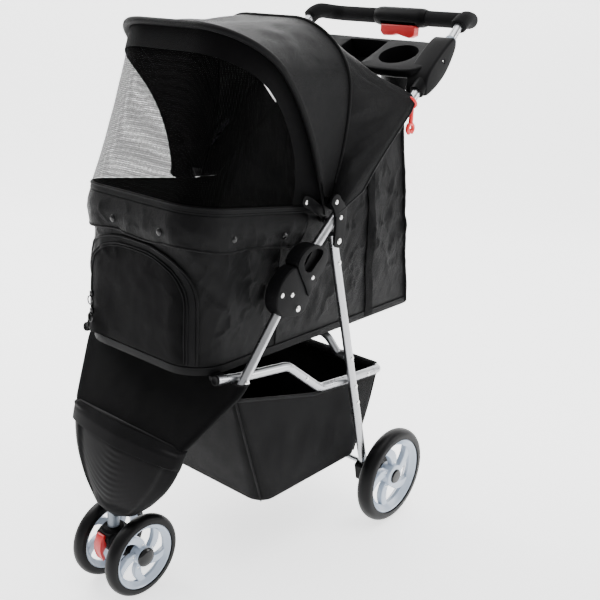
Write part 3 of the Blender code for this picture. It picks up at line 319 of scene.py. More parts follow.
def zip_tape():
    """Nylon coil zip on its woven tape: tight ribs 1.6 mm apart across the run."""
    made, tree, shader, place = start_material("nylon_coil_zip", "#060607", 0.55, IOR=1.50)
    shader.inputs["Specular IOR Level"].default_value = 0.08
    teeth = add_node(tree, "ShaderNodeTexVoronoi", [("Vector", place)], Scale=620.0, Randomness=0.35)
    relief(tree, shader, teeth.outputs["Distance"], 0.0004, 0.8)
    # painted shade: the hollows between the teeth are coloured darker than the teeth
    tint(tree, shader, teeth.outputs["Distance"], "#040405", "#0B0B0C")
    return made


def webbing():
    """Ribbed polypropylene webbing: deep black with ribs 1.2 mm apart."""
    made, tree, shader, place = start_material("ribbed_webbing", "#050506", 0.66, IOR=1.49)
    shader.inputs["Specular IOR Level"].default_value = 0.05
    ribs = add_node(tree, "ShaderNodeTexWave", [("Vector", place)], bands_direction="Y",
                    Scale=20.0 / (2 * math.pi * 0.0024), Distortion=0.3)
    relief(tree, shader, ribs.outputs["Fac"], 0.0003, 0.7)
    # painted shade: the grooves between the ribs are coloured darker than the ribs
    tint(tree, shader, ribs.outputs["Fac"], "#030304", "#080809")
    return made


def pale_floor():
    """Matt white paper sweep of a studio."""
    made, tree, shader, place = start_material("backdrop_paper", "#F4F4F4", 0.85)
    fibre = add_node(tree, "ShaderNodeTexNoise", [("Vector", place)], Scale=3.0, Detail=2.0)
    tint(tree, shader, fibre.outputs["Fac"], "#F4F4F4", "#F8F8F8")
    shader.inputs["Emission Color"].default_value = (1.0, 1.0, 1.0, 1.0)
    shader.inputs["Emission Strength"].default_value = 1.7
    return made


MATERIALS = {}


def make_materials(look):
    """Every finish in use, by a short name."""
    MATERIALS.update({
        "steel": satin_steel(),
        "stem": painted_stem(),
        "rivet": rivet_steel(),
        "plastic": moulded_black(),
        "cap": gloss_black(),
        "red": red_moulding("red_abs", rgba(look.accent, 0.70), rgba(look.accent, 0.95), 0.34),
        "hook": red_moulding("bright_red_nylon", rgba(look.accent, 1.1), rgba(look.accent, 1.5), 0.30),
        "rim": pale_rim(),
        "tyre": foam_tyre(),
        "foam": foam_grip(),
        "oxford": woven("oxford_polyester", rgba(look.cloth, 0.75), rgba(look.cloth, 1.35), 0.0011,
                        0.00014, (0.34, 0.50), 0.09),
        "door_cloth": woven("plain_door_polyester", rgba(look.cloth, 0.6), rgba(look.cloth, 0.9), 0.0010,
                            0.00010, (0.62, 0.76), 0.05, 0.0005),
        "panel": woven("leg_panel_canvas", rgba(look.cloth, 0.6), rgba(look.cloth, 0.9), 0.0012, 0.00016,
                       (0.60, 0.75), 0.05, 0.0005),
        "basket": woven("basket_canvas", rgba(look.cloth, 0.8), rgba(look.cloth, 1.3), 0.0014, 0.00022,
                        (0.58, 0.74), 0.07, 0.0006),
        "pad": woven("brushed_pad_cloth", "#0A0A0B", "#111112", 0.0016, 0.00020, (0.75, 0.88), 0.05),
        "binding": woven("bias_binding", "#040405", "#080809", 0.0009, 0.00010, (0.50, 0.62), 0.10,
                         0.0001),
        "mesh": knit_mesh(),
        "zip": zip_tape(),
        "webbing": webbing(),
        "floor": pale_floor(),
    })


# ---------------------------------------------------------------- lines and outlines
def along(start, slope, distance):
    """Point (y, z) at a distance up a line that rises rearwards."""
    return start[0] + math.cos(slope) * distance, start[1] + math.sin(slope) * distance


def at_height(start, slope, z):
    return along(start, slope, (z - start[1]) / math.sin(slope))


UPPER_START = (FOLD_PIVOT[0] - 0.0324 * math.sin(UPPER_SLOPE),
               FOLD_PIVOT[1] + 0.0324 * math.cos(UPPER_SLOPE))


def on_upper(distance, lift=0.0):
    """Point (y, z) beside the upper tube; lift is ahead of and above its centre line."""
    y, z = along(UPPER_START, UPPER_SLOPE, distance)
    return y - lift * math.sin(UPPER_SLOPE), z + lift * math.cos(UPPER_SLOPE)


def lock_point(s, n):
    """(y, z) from distances along (s) and behind (n) the folding joint, from its pivot."""
    c, d = math.cos(LOCK_SLOPE), math.sin(LOCK_SLOPE)
    return FOLD_PIVOT[0] + s * c + n * d, FOLD_PIVOT[1] + s * d - n * c


def rounded_path(points, radius, steps=10):
    """Polyline through points with each inner corner replaced by an arc."""
    points = [Vector(p) for p in points]
    path = [points[0]]
    for before, corner, after in zip(points, points[1:], points[2:]):
        back, ahead = (before - corner).normalized(), (after - corner).normalized()
        half = back.angle(ahead) / 2
        reach = min(radius / math.tan(half), 0.45 * (before - corner).length,
                    0.45 * (after - corner).length)
        centre = corner + (back + ahead).normalized() * reach / math.cos(half)
        spoke, last = corner + back * reach - centre, corner + ahead * reach - centre
        axis, sweep = spoke.cross(last).normalized(), spoke.angle(last)
        path += [centre + Quaternion(axis, sweep * k / steps) @ spoke for k in range(steps + 1)]
    return path + [points[-1]]


def smooth_loop(points, steps=6):
    """Closed outline rounded through its points."""
    result, count = [], len(points)
    for i in range(count):
        p0, p1, p2, p3 = (Vector(points[(i + k) % count]) for k in (-1, 0, 1, 2))
        for k in range(steps):
            t = k / steps
            result.append(0.5 * ((2 * p1) + (p2 - p0) * t + (2 * p0 - 5 * p1 + 4 * p2 - p3) * t * t
                                 + (3 * p1 - p0 - 3 * p2 + p3) * t ** 3))
    return [tuple(p) for p in result]


def arc(centre, radius, start, end, steps):
    """Points (y, z) on an arc, angles in degrees from +Y towards +Z."""
    angles = [math.radians(start + (end - start) * i / steps) for i in range(steps + 1)]
    return [(centre[0] + radius * math.cos(a), centre[1] + radius * math.sin(a)) for a in angles]


def between(marks, y):
    for (y0, z0), (y1, z1) in zip(marks, marks[1:]):
        if y <= y1 + 1e-6:
            return z0 + (z1 - z0) * (y - y0) / (y1 - y0)
    return marks[-1][1]


def evenly(low, high, count):
    """Evenly spaced values from low to high, both ends included."""
    return [low + (high - low) * k / count for k in range(count + 1)]


def ease(value, low, high):
    """0 below low, 1 above high, smooth between them."""
    t = min(max((value - low) / (high - low), 0.0), 1.0)
    return t * t * (3 - 2 * t)


# ---------------------------------------------------------------- modelling by operators
def start_clean():
    if bpy.context.object and bpy.context.object.mode != "OBJECT":
        bpy.ops.object.mode_set(mode="OBJECT")
    bpy.ops.object.select_all(action="DESELECT")


def choose(obj):
    start_clean()
    obj.select_set(True)
    bpy.context.view_layer.objects.active = obj


def apply_all(obj):
    choose(obj)
    for modifier in list(obj.modifiers):
        bpy.ops.object.modifier_apply(modifier=modifier.name)


def settle(obj, name, body, finish, replaced=(), angle=35.0):
    """Bake a piece's modifiers and place, finish and name it; it rides on its body, if given one."""
    apply_all(obj)
    bpy.ops.object.transform_apply(location=True, rotation=True, scale=True)
    obj.data.transform(Matrix.Translation(SHIFT))
    obj.name = obj.data.name = name
    bpy.ops.object.shade_smooth_by_angle(angle=math.radians(angle))
    obj.data.materials.clear()
    obj.data.materials.append(MATERIALS[finish])
    if body:
        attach(obj, body)
    if replaced:
        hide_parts(*replaced)
    return obj


def stud(obj, name, body, replaced=()):
    """Finish a rivet, a pin or a screw."""
    return settle(obj, name, body, "rivet", replaced)


def moulding(obj, name, body, replaced=(), angle=35.0):
    """Finish a black plastic moulding."""
    return settle(obj, name, body, "plastic", replaced, angle)


def steel_tube(path, name, body, replaced, radius=TUBE_R, sides=28):
    """Steel tube bent along a path."""
    return settle(bar(path, radius, sides), name, body, "steel", replaced)


def sewn(rows, name, body, finish, replaced=(), wall=CLOTH_WALL):
    """Cloth through rows of points, given its thickness and finished."""
    return settle(thicken(skin(rows), wall), name, body, finish, replaced, SOFT_ANGLE)


def edging(obj, name, body="cabin_frame", angle=SOFT_ANGLE):
    """Finish a line of bias binding or piping."""
    return settle(obj, name, body, "binding", (), angle)


def fuse(pieces):
    """Join several shaped pieces into one object."""
    start_clean()
    for piece in pieces:
        piece.select_set(True)
    bpy.context.view_layer.objects.active = pieces[0]
    bpy.ops.object.join()
    return bpy.context.object


def bar(points, radius, sides=20, flat=1.0, caps=True):
    """Round bar along a line: a curve with a bevel, turned to a mesh."""
    start_clean()
    bpy.ops.curve.primitive_bezier_curve_add()
    obj = bpy.context.object
    obj.data.splines.clear()
    spline = obj.data.splines.new("POLY")
    spline.points.add(len(points) - 1)
    for point, place in zip(spline.points, points):
        point.co = (*place, 1.0)
    obj.data.dimensions = "3D"
    obj.data.bevel_depth = radius
    obj.data.bevel_resolution = max(0, sides // 4 - 1)
    obj.data.use_fill_caps = caps
    choose(obj)
    bpy.ops.object.convert(target="MESH")
    obj = bpy.context.object
    weld(obj)
    return obj


def weld(obj, distance=0.00002):
    """Merge doubled points and turn every face outwards."""
    choose(obj)
    bpy.ops.object.mode_set(mode="EDIT")
    bpy.ops.mesh.select_all(action="SELECT")
    bpy.ops.mesh.remove_doubles(threshold=distance)
    bpy.ops.mesh.normals_make_consistent(inside=False)
    bpy.ops.object.mode_set(mode="OBJECT")


def soften(obj, width, segments=3, angle=35.0):
    edge = obj.modifiers.new("edges", "BEVEL")
    edge.width, edge.segments = width, segments
    edge.limit_method, edge.angle_limit = "ANGLE", math.radians(angle)
    edge.harden_normals = False
    apply_all(obj)


def extruded(points, move, bevel=0.0, segments=3):
    """Closed outline filled, drawn out along a vector and softened."""
    start_clean()
    bpy.ops.mesh.primitive_circle_add(vertices=len(points), fill_type="NGON")
    obj = bpy.context.object
    for vertex, place in zip(obj.data.vertices, points):
        vertex.co = place
    bpy.ops.object.mode_set(mode="EDIT")
    bpy.ops.mesh.select_all(action="SELECT")
    bpy.ops.mesh.extrude_region_move(TRANSFORM_OT_translate={"value": move})
    bpy.ops.mesh.select_all(action="SELECT")
    bpy.ops.mesh.normals_make_consistent(inside=False)
    bpy.ops.object.mode_set(mode="OBJECT")
    if bevel:
        soften(obj, bevel, segments)
    return obj


def plate(outline, x0, x1, bevel=0.0015, segments=3):
    """Moulded plate: an outline in (y, z) extruded across."""
    return extruded([(x0, y, z) for y, z in outline], (x1 - x0, 0, 0), bevel, segments)


def lathe(profile, centre, steps=64, axis=(1, 0, 0)):
    """Profile of (distance along the axis, radius) spun round an axis through centre."""
    start_clean()
    bpy.ops.mesh.primitive_plane_add(size=1)
    obj = bpy.context.object
    mesh = bpy.data.meshes.new("profile")
    axis = Vector(axis).normalized()
    side = axis.orthogonal().normalized()
    centre = Vector(centre)
    mesh.from_pydata([centre + axis * a + side * r for a, r in profile],
                     [(k, k + 1) for k in range(len(profile) - 1)], [])
    obj.data = mesh
    bpy.ops.object.mode_set(mode="EDIT")
    bpy.ops.mesh.select_all(action="SELECT")
    bpy.ops.mesh.spin(steps=steps, angle=2 * math.pi, center=centre, axis=axis)
    bpy.ops.object.mode_set(mode="OBJECT")
    weld(obj)
    return obj


def boolean(obj, other, operation):
    """Combine two shaped pieces; the second is used up."""
    step = obj.modifiers.new("combine", "BOOLEAN")
    step.operation, step.solver, step.object = operation, "EXACT", other
    apply_all(obj)
    bpy.data.objects.remove(other, do_unlink=True)
    return obj


def box(centre, size, tilt=0.0, bevel=0.0, segments=3):
    """Rounded block turned about X."""
    start_clean()
    bpy.ops.mesh.primitive_cube_add(size=1, location=centre, rotation=(tilt, 0, 0))
    obj = bpy.context.object
    obj.scale = size
    bpy.ops.object.transform_apply(location=True, rotation=True, scale=True)
    if bevel:
        soften(obj, bevel, segments)
    return obj


def rivet(centre, radius=0.0046, height=0.0022, axis=(1, 0, 0)):
    """Domed rivet head with a crisp rim, its axis along X by default."""
    profile = [(0, 0.0), (0, radius), (height * 0.35, radius), (height * 0.75, radius * 0.82),
               (height, radius * 0.45), (height * 1.02, 0.0)]
    return lathe(profile, centre, 24, axis)


def skin(rows, wrap=False, leave_out=None):
    """Mesh through rows of points, for cloth; leave_out(row, column) opens a hole in it."""
    mesh = bpy.data.meshes.new("cloth")
    width = len(rows[0])
    faces = []
    for r in range(len(rows) - 1):
        for k in range(width if wrap else width - 1):
            n = (k + 1) % width
            if leave_out is None or not leave_out(r, k):
                faces.append((r * width + k, r * width + n, (r + 1) * width + n, (r + 1) * width + k))
    mesh.from_pydata([tuple(p) for row in rows for p in row], [], faces)
    obj = bpy.data.objects.new("cloth", mesh)
    bpy.context.collection.objects.link(obj)
    return obj


def thicken(obj, wall, offset=0.0):
    solid = obj.modifiers.new("wall", "SOLIDIFY")
    solid.thickness, solid.offset = wall, offset
    solid.use_even_offset = True
    apply_all(obj)
    return obj


def smooth_more(obj, levels=1):
    rounder = obj.modifiers.new("rounder", "SUBSURF")
    rounder.levels = rounder.render_levels = levels
    apply_all(obj)
    return obj


def folds(point, seed, stretch, size):
    """Soft fold height from -1 to 1, drawn out along the axes whose stretch is small."""
    p = Vector((point[0] * stretch[0], point[1] * stretch[1], point[2] * stretch[2])) / size
    return noise.fractal(p + Vector((seed, seed * 0.7, 0)), 1.0, 2.0, 3)


# ---------------------------------------------------------------- cabin wall as a surface
def cabin_rim(y):
    return between(RIM_MARKS, y)


def cabin_at(u, z, lift=0.0):
    """Point on the cabin's outside wall; u runs round it from mid front, left positive."""
    side, run = (1 if u >= 0 else -1), abs(u)
    if run <= FRONT_FLAT:
        x, y, nx, ny = run, CABIN_FRONT, 0.0, -1.0
    elif run <= FRONT_FLAT + CORNER_RUN:
        a = (run - FRONT_FLAT) / CABIN_CORNER
        nx, ny = math.sin(a), -math.cos(a)
        x = FRONT_FLAT + CABIN_CORNER * nx
        y = CABIN_FRONT + CABIN_CORNER * (1 + ny)
    else:
        x, y, nx, ny = CABIN_HALF, CABIN_FRONT + CABIN_CORNER + run - FRONT_FLAT - CORNER_RUN, 1.0, 0.0
        if y > CABIN_REAR:
            x, y, nx, ny = CABIN_HALF - (y - CABIN_REAR), CABIN_REAR, 0.0, 1.0
    x, y = x + nx * lift, y + ny * lift
    if y > 0.345:
        rise = (z - CABIN_FLOOR) / (CABIN_TOP[1] - CABIN_FLOOR)
        y -= (y - 0.345) / (CABIN_REAR - 0.345) * rise * (CABIN_REAR - CABIN_TOP[0])
    return Vector((side * x, y, z))


def straight_y(u):
    """Distance along the stroller of a place on the wall, before the rear's lean."""
    run = abs(u) - FRONT_FLAT - CORNER_RUN
    return min(cabin_at(u, CABIN_FLOOR).y if run <= 0 else CABIN_FRONT + CABIN_CORNER + run, CABIN_REAR)


def bow_point(bow, t, grow=0.0, shift=0.0):
    """Point on a canopy bow; t runs from 0 at the left pivot over the crown to 1 at the right."""
    half, rise = bow["x"], bow["rise"]
    straight, turn, flat = rise - BOW_CORNER - BOW_START, BOW_CORNER * math.pi / 2, half - BOW_CORNER
    d = (t if t <= 0.5 else 1 - t) * 2 * (straight + turn + flat)
    a = min(max((d - straight) / BOW_CORNER, 0.0), math.pi / 2)
    x = half - BOW_CORNER + BOW_CORNER * math.cos(a) - max(0.0, d - straight - turn)
    r = rise - BOW_CORNER + BOW_CORNER * math.sin(a) + min(0.0, d - straight)
    angle = bow["angle"] - BOW_BEND * (1 - (r / rise) ** 2)
    x, r = x + grow * math.cos(a), r + grow * math.sin(a)
    return Vector((x if t <= 0.5 else -x, CANOPY_PIVOT[0] + r * math.cos(angle) + shift,
                   CANOPY_PIVOT[1] + r * math.sin(angle)))


def bow_row(bow, count, grow=0.0, shift=0.0, trim=CANOPY_TRIM):
    return [bow_point(bow, trim + (1 - 2 * trim) * k / count, grow, shift) for k in range(count + 1)]


# ---------------------------------------------------------------- frame and mouldings
HANDLE_BEND = ((FRAME_X, *on_upper(0.5796)), (FRAME_X - 0.004, *on_upper(0.640)),
               (HANDLE_HALF, HANDLE_Y, HANDLE_Z), (0, HANDLE_Y, HANDLE_Z))


def mirror_path(points):
    """Points on the left side followed by their mirror on the right."""
    left = [Vector(p) for p in points]
    right = [Vector((-p.x, p.y, p.z)) for p in left[::-1]]
    return left + (right[1:] if abs(left[-1].x) < 1e-6 else right)


def front_leg_path(s):
    return rounded_path([(s * FRAME_X, *at_height(SEAT_PIVOT, FRONT_LEG_SLOPE, 0.513)),
                         (s * FRAME_X, *at_height(SEAT_PIVOT, FRONT_LEG_SLOPE, 0.392)),
                         (s * 0.126, *at_height(SEAT_PIVOT, FRONT_LEG_SLOPE, 0.300)),
                         (s * 0.030, -0.006, 0.176)], 0.06)


def build_tubes():
    for side, s in SIDES:
        steel_tube(front_leg_path(s), "leg_tube_" + side, "front_frame", ["front_leg_" + side])
        rear = [(s * FRAME_X, *along(LEG_PIVOT, -LEG_SLOPE, -0.011)),
                (s * FRAME_X, *at_height(LEG_PIVOT, -LEG_SLOPE, 0.108))]
        steel_tube(rear, "rear_tube_" + side, "rear_frame", ["rear_leg_" + side])
        rail = rounded_path([(s * SEAT_X, y, z) for y, z in
                             ((0.052, 0.4172), (0.095, 0.408), (0.221, 0.3925), (0.312, 0.3245),
                              (0.395, 0.316), (0.470, 0.3105))], 0.045)
        tube = bar(rail, TUBE_R, 28)
        plug = lathe([(-0.0012, 0.0), (-0.0012, 0.0030), (-0.0016, 0.0036), (-0.0026, 0.0066),
                      (-0.0020, 0.0080), (0.0004, 0.0084), (0.0004, 0.0)], rail[0], 28,
                     rail[1] - rail[0])
        settle(tube, "seat_tube_" + side, "cabin_frame", "steel", ["seat_rail_" + side])
        moulding(plug, "tube_plug_" + side, "cabin_frame")
    upper = mirror_path(rounded_path([(FRAME_X, *on_upper(0.022)), *HANDLE_BEND], 0.050, 14))
    steel_tube(upper, "push_handle_tube", "handle_frame",
               ["upper_tube_left", "upper_tube_right", "handle_bar"])
    brace = mirror_path(rounded_path([(0.1707, 0.3714, 0.372), (0.1547, 0.3714, 0.372),
                                      (0.128, 0.3654, 0.4055), (0, 0.3654, 0.4055)], 0.03, 8))
    steel_tube(brace, "cross_tube", "rear_frame", ["cross_brace"], 0.0070, 24)
    cross = mirror_path(rounded_path([(SEAT_X, 0.4706, 0.3105), (SEAT_X, *BASKET_BAR), (0, *BASKET_BAR)],
                                     0.026, 10))
    steel_tube(cross, "basket_tube", "cabin_frame", ["basket_cross_bar"])
    rear_axle = [(x, REAR_AXLE_Y, REAR_WHEEL_R) for x in (-0.219, 0.219)]
    steel_tube(rear_axle, "rear_axle_rod", "rear_frame", ["rear_axle"], AXLE_R, 24)
    front_axle = [(x, 0, FRONT_WHEEL_R) for x in (-0.0535, 0.0535)]
    stud(bar(front_axle, AXLE_R, 24), "front_axle_rod", "caster", ["front_axle"])
    stem = lathe([(0, 0), (0, 0.0085), (0.0016, 0.0100), (0.0725, 0.0100), (0.0725, 0)],
                 (0, STEM_Y, 0.0955), 32, (0, 0, 1))
    settle(stem, "stem_tube", "front_frame", "stem", ["caster_stem"])


def build_rivets():
    """Domed rivets: the pivots' own and those that fix the mouldings to the tubes."""
    for side, s in SIDES:
        for label, body in (("fold", "front_frame"), ("seat", "front_frame"), ("leg", "handle_frame")):
            low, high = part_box(f"{label}_pin_{side}")
            near, far = (low.x, high.x) if s > 0 else (high.x, low.x)
            y, z = (low.y + high.y) / 2 - SHIFT.y, (low.z + high.z) / 2
            size = abs(far - near)
            profile = [(0, 0), (0.0003, 0.0040), (0.0015, 0.0050), (0.0022, 0.0050), (0.0022, 0.0030),
                       (size - 0.0024, 0.0030), (size - 0.0024, 0.0052), (size - 0.0016, 0.0052),
                       (size - 0.0004, 0.0038), (size, 0.0018), (size, 0)]
            stud(lathe(profile, (near, y, z), 28, (s, 0, 0)), f"{label}_rivet_{side}", body,
                 [f"{label}_pin_{side}"])
        marks = [("front_frame", LOCK_FACE, lock_point(0.0092, -0.0294)),
                 ("front_frame", LOCK_FACE, lock_point(-0.0040, -0.0500)),
                 *[("rear_frame", FRAME_X + TUBE_R - 0.0004, at_height(LEG_PIVOT, -LEG_SLOPE, z))
                   for z in (0.562, 0.372, 0.311, 0.275)],
                 ("rear_frame", FRAME_X + 0.0106, at_height(LEG_PIVOT, -LEG_SLOPE, 0.126)),
                 ("handle_frame", FRAME_X + 0.0124, on_upper(0.174, 0.030)),
                 ("handle_frame", FRAME_X + 0.0124, on_upper(0.166)),
                 ("cabin_frame", SEAT_X + TUBE_R - 0.0004, (0.268, 0.3575)),
                 ("cabin_frame", SEAT_X + TUBE_R - 0.0004, (0.452, 0.3115))]
        for number, (body, x, (y, z)) in enumerate(marks):
            stud(rivet((s * x, y, z), 0.0040, 0.0018, (s, 0, 0)), f"face_rivet_{side}_{number}", body)
        collar = lock_point(0.0554, -0.0090)
        stud(rivet((s * (LOCK_FACE + 0.0023), *collar), 0.0036, 0.0016, (s, 0, 0)), "collar_rivet_" + side,
             "latch_" + side)


SEAM = ((0.0480, -0.0520), (0.0465, -0.0380), (0.0450, -0.0260), (0.0420, -0.0120), (0.0370, 0.0010),
        (0.0300, 0.0135))
HOUSING_BACK = ((0.0088, 0.0185), (-0.0100, 0.0091), (-0.0280, -0.0185), (-0.0280, -0.0397),
                (-0.0200, -0.0520), (-0.0069, -0.0615), (0.0118, -0.0655), (0.0339, -0.0615))
COLLAR_DEEP = ((0.0492, -0.0540), (0.0477, -0.0380), (0.0462, -0.0260), (0.0432, -0.0120), (0.0420, -0.0030),
               (0.0560, 0.0040), (0.0726, 0.0063), (0.0967, 0.0026), (0.1085, -0.0112), (0.1030, -0.0339),
               (0.0862, -0.0527), (0.0642, -0.0590))
COLLAR_FACE = ((0.0350, -0.0128), (0.0285, 0.0050), (0.0345, 0.0078), (0.0545, 0.0010), (0.0726, 0.0063),
               (0.0967, 0.0026), (0.1085, -0.0112), (0.1030, -0.0339), (0.0862, -0.0527), (0.0642, -0.0590),
               (0.0491, -0.0540), (0.0425, -0.0380))
FINGER_ROOM = ((0.0560, -0.0400), (0.0660, -0.0470), (0.0827, -0.0450), (0.0968, -0.0333), (0.1010, -0.0200),
               (0.0930, -0.0155), (0.0760, -0.0175), (0.0600, -0.0200), (0.0540, -0.0290))
FINGER_HOLE = ((0.060, -0.0440), (0.078, -0.0440), (0.091, -0.0375), (0.091, -0.0345), (0.076, -0.0330),
               (0.061, -0.0330))


def lock_plate(shape, x0, x1, bevel, segments=3):
    return plate([lock_point(*p) for p in smooth_loop(shape, 5)], x0, x1, bevel, segments)


def build_locks():
    """Black folding joints: a housing on each front leg and the sliding collar above it."""
    for side, s in SIDES:
        inner, outer = s * (FRAME_X - 0.0128), s * LOCK_FACE
        housing = lock_plate(SEAM + HOUSING_BACK, inner, outer, 0.0028, 4)
        moulding(housing, "lock_body_" + side, "front_frame", ["lock_housing_" + side], 50)
        collar = lock_plate(COLLAR_DEEP, inner, outer, 0.0024, 4)
        face = lock_plate(COLLAR_FACE, outer - s * 0.0002, outer + s * 0.0024, 0.0010, 3)
        for piece in (collar, face):
            boolean(piece, lock_plate(FINGER_ROOM, outer - s * 0.0054, outer + s * 0.006, 0), "DIFFERENCE")
            boolean(piece, lock_plate(FINGER_HOLE, inner - s * 0.004, outer + s * 0.006, 0), "DIFFERENCE")
        moulding(fuse([collar, face]), "lock_collar_" + side, "latch_" + side, ["latch_collar_" + side], 50)


def build_brackets():
    """Curved side plates that carry the rear legs, and the short canopy arms beside them."""
    for side, s in SIDES:
        top, mid = on_upper(0.174, 0.030), on_upper(0.170)
        outline = (arc(top, 0.0125, 20, 190, 10) + [(mid[0] - 0.0150, mid[1] - 0.001)]
                   + arc(LEG_PIVOT, 0.0115, 190, 350, 10) + [(mid[0] + 0.0135, mid[1] + 0.005)])
        x0, x1 = s * (FRAME_X + 0.0083), s * (FRAME_X + 0.0125)
        shape = plate(smooth_loop(outline, 2), x0, x1, 0.0014, 3)
        moulding(shape, "side_plate_" + side, "handle_frame", ["pivot_bracket_" + side])
    for side, s in SIDES:
        arm = [(0.251, 0.680), (0.243, 0.673), (0.247, 0.664), (0.262, 0.656), (0.290, 0.640),
               (0.303, 0.626), (0.313, 0.629), (0.312, 0.642), (0.296, 0.657), (0.268, 0.674)]
        piece = plate(smooth_loop(arm, 4), s * 0.1560, s * 0.1588, 0.0010, 2)
        moulding(piece, "canopy_arm_" + side, "cabin_frame")
        stud(rivet((s * 0.1588, 0.253, 0.6695), 0.0038, 0.0014, (s, 0, 0)), "arm_rivet_" + side,
             "cabin_frame")


FOOT_STATIONS = ((0.306, 0.139, -0.002, 0.030), (0.290, 0.138, -0.012, 0.036), (0.262, 0.131, -0.024, 0.044),
                 (0.225, 0.113, -0.034, 0.048), (0.190, 0.084, -0.040, 0.048), (0.160, 0.050, -0.040, 0.042),
                 (0.146, 0.018, -0.030, 0.024))


def foot_station(z):
    """Half width, front and depth of the footrest at a height, eased between its stations."""
    marks = FOOT_STATIONS[::-1]
    for k in range(len(marks) - 1):
        if z <= marks[k + 1][0]:
            a, b, c, d = (marks[min(max(i, 0), len(marks) - 1)] for i in (k - 1, k, k + 1, k + 2))
            t = (z - b[0]) / (c[0] - b[0])
            return [0.5 * (2 * b[i] + (c[i] - a[i]) * t + (2 * a[i] - 5 * b[i] + 4 * c[i] - d[i]) * t * t
                           + (3 * b[i] - a[i] - 3 * c[i] + d[i]) * t ** 3) for i in (1, 2, 3)]
    return list(marks[-1][1:])


def footrest_relief(across, z):
    """Depth of the footrest's front face: a raised band above a fan of ribs."""
    band = ease(z, 0.2690, 0.2715)
    fan = 1 - ease(abs(across), 0.74, 0.86)
    radius = math.hypot(across * 0.118, z - 0.316)
    rib = 0.0009 * (0.5 + 0.5 * math.cos(2 * math.pi * (radius - 0.056) / 0.0095))
    toe = ease(z, 0.158, 0.176)
    lip = ease(z, 0.292, 0.300) * ease(abs(across), 0.55, 0.95)
    return -0.0062 * band - 0.0040 * lip + (1 - band) * fan * toe * (0.0050 - rib)


def build_footrest():
    """Black moulded toe cap: raised top band, ribbed fan below it and rounded sides."""
    rows = []
    for step in range(73):
        z = 0.306 - 0.160 * step / 72
        half, front_y, depth = foot_station(z)
        closing = 1 - 0.10 * ease(z, 0.300, 0.306)
        row = []
        for k in range(96):
            a = 2 * math.pi * k / 96
            bulge = math.sin(a)
            x = half * closing * math.copysign(abs(math.cos(a)) ** 0.75, math.cos(a))
            y = front_y + depth * 0.5 * (1 + bulge * closing) + 0.05 * abs(x) * (1 - bulge) / 2
            if bulge < -0.05:
                y += footrest_relief(x / max(half, 0.001), z) * min(1.0, -bulge * 3)
            row.append((x, y, z))
        rows.append(row)
    obj = skin(rows, wrap=True)
    choose(obj)
    bpy.ops.object.mode_set(mode="EDIT")
    bpy.ops.mesh.select_all(action="SELECT")
    bpy.ops.mesh.region_to_loop()
    bpy.ops.mesh.edge_face_add()
    bpy.ops.object.mode_set(mode="OBJECT")
    weld(obj, 0.0001)
    soften(obj, 0.0018, 3, 60)
    moulding(obj, "toe_cap", "front_frame", ["footrest"], 45)


def build_caster():
    """Swivel housing with ears on the axle, and the red swivel lock lever in front of it."""
    y = STEM_Y
    outline = ((y - 0.0215, 0.1165), (y + 0.0235, 0.1165), (0.0125, 0.092), (0.0150, 0.070),
               (0.004, 0.0575), (-0.008, 0.060), (y - 0.010, 0.076), (y - 0.0215, 0.096))
    body = plate(smooth_loop(outline, 4), -0.0170, 0.0170, 0.0040, 4)
    collar = lathe([(0, 0.0), (0, 0.0195), (0.0040, 0.0200), (0.0075, 0.0175), (0.0085, 0.0130),
                    (0.0088, 0.0104), (0.0, 0.0104)], (0, y, 0.1145), 40, (0, 0, 1))
    bosses = [lathe([(0, 0), (0, 0.0125), (0.0030, 0.0118), (0.0042, 0.0095), (0.0042, 0)],
                    (s * 0.0160, 0.0, FRONT_WHEEL_R), 36, (s, 0, 0)) for s in (1, -1)]
    moulding(fuse([body, collar] + bosses), "swivel_housing", "caster", ["caster_housing"])
    for side, s in SIDES:
        stud(rivet((s * 0.0170, y + 0.004, 0.104), 0.0042, 0.0016, (s, 0, 0)), "housing_rivet_" + side,
             "caster")
    front = y - 0.0223
    lever = ((front - 0.0005, 0.094), (front - 0.0005, 0.1135), (front - 0.0062, 0.1158),
             (front - 0.0120, 0.1030), (front - 0.0130, 0.0900), (front - 0.0105, 0.0790),
             (front - 0.0062, 0.0690), (front - 0.0030, 0.0735), (front - 0.0062, 0.0850))
    settle(plate(smooth_loop(lever, 4), -0.0085, 0.0085, 0.0016, 3), "swivel_lever", "swivel_lock",
           "red", ["swivel_lock_lever"])


def spoke_outline(y, z, hub, lip, start):
    """Swept blade from the hub to the rim."""
    def edge(offset_in, offset_out):
        points = []
        for k in range(13):
            t = k / 12
            radius = hub + (lip - hub) * t
            turn = start + math.radians(34) * t ** 1.25
            turn += math.radians(offset_in + (offset_out - offset_in) * t)
            points.append((y + radius * math.cos(turn), z + radius * math.sin(turn)))
        return points
    return edge(-20, -9) + edge(20, 9)[::-1]


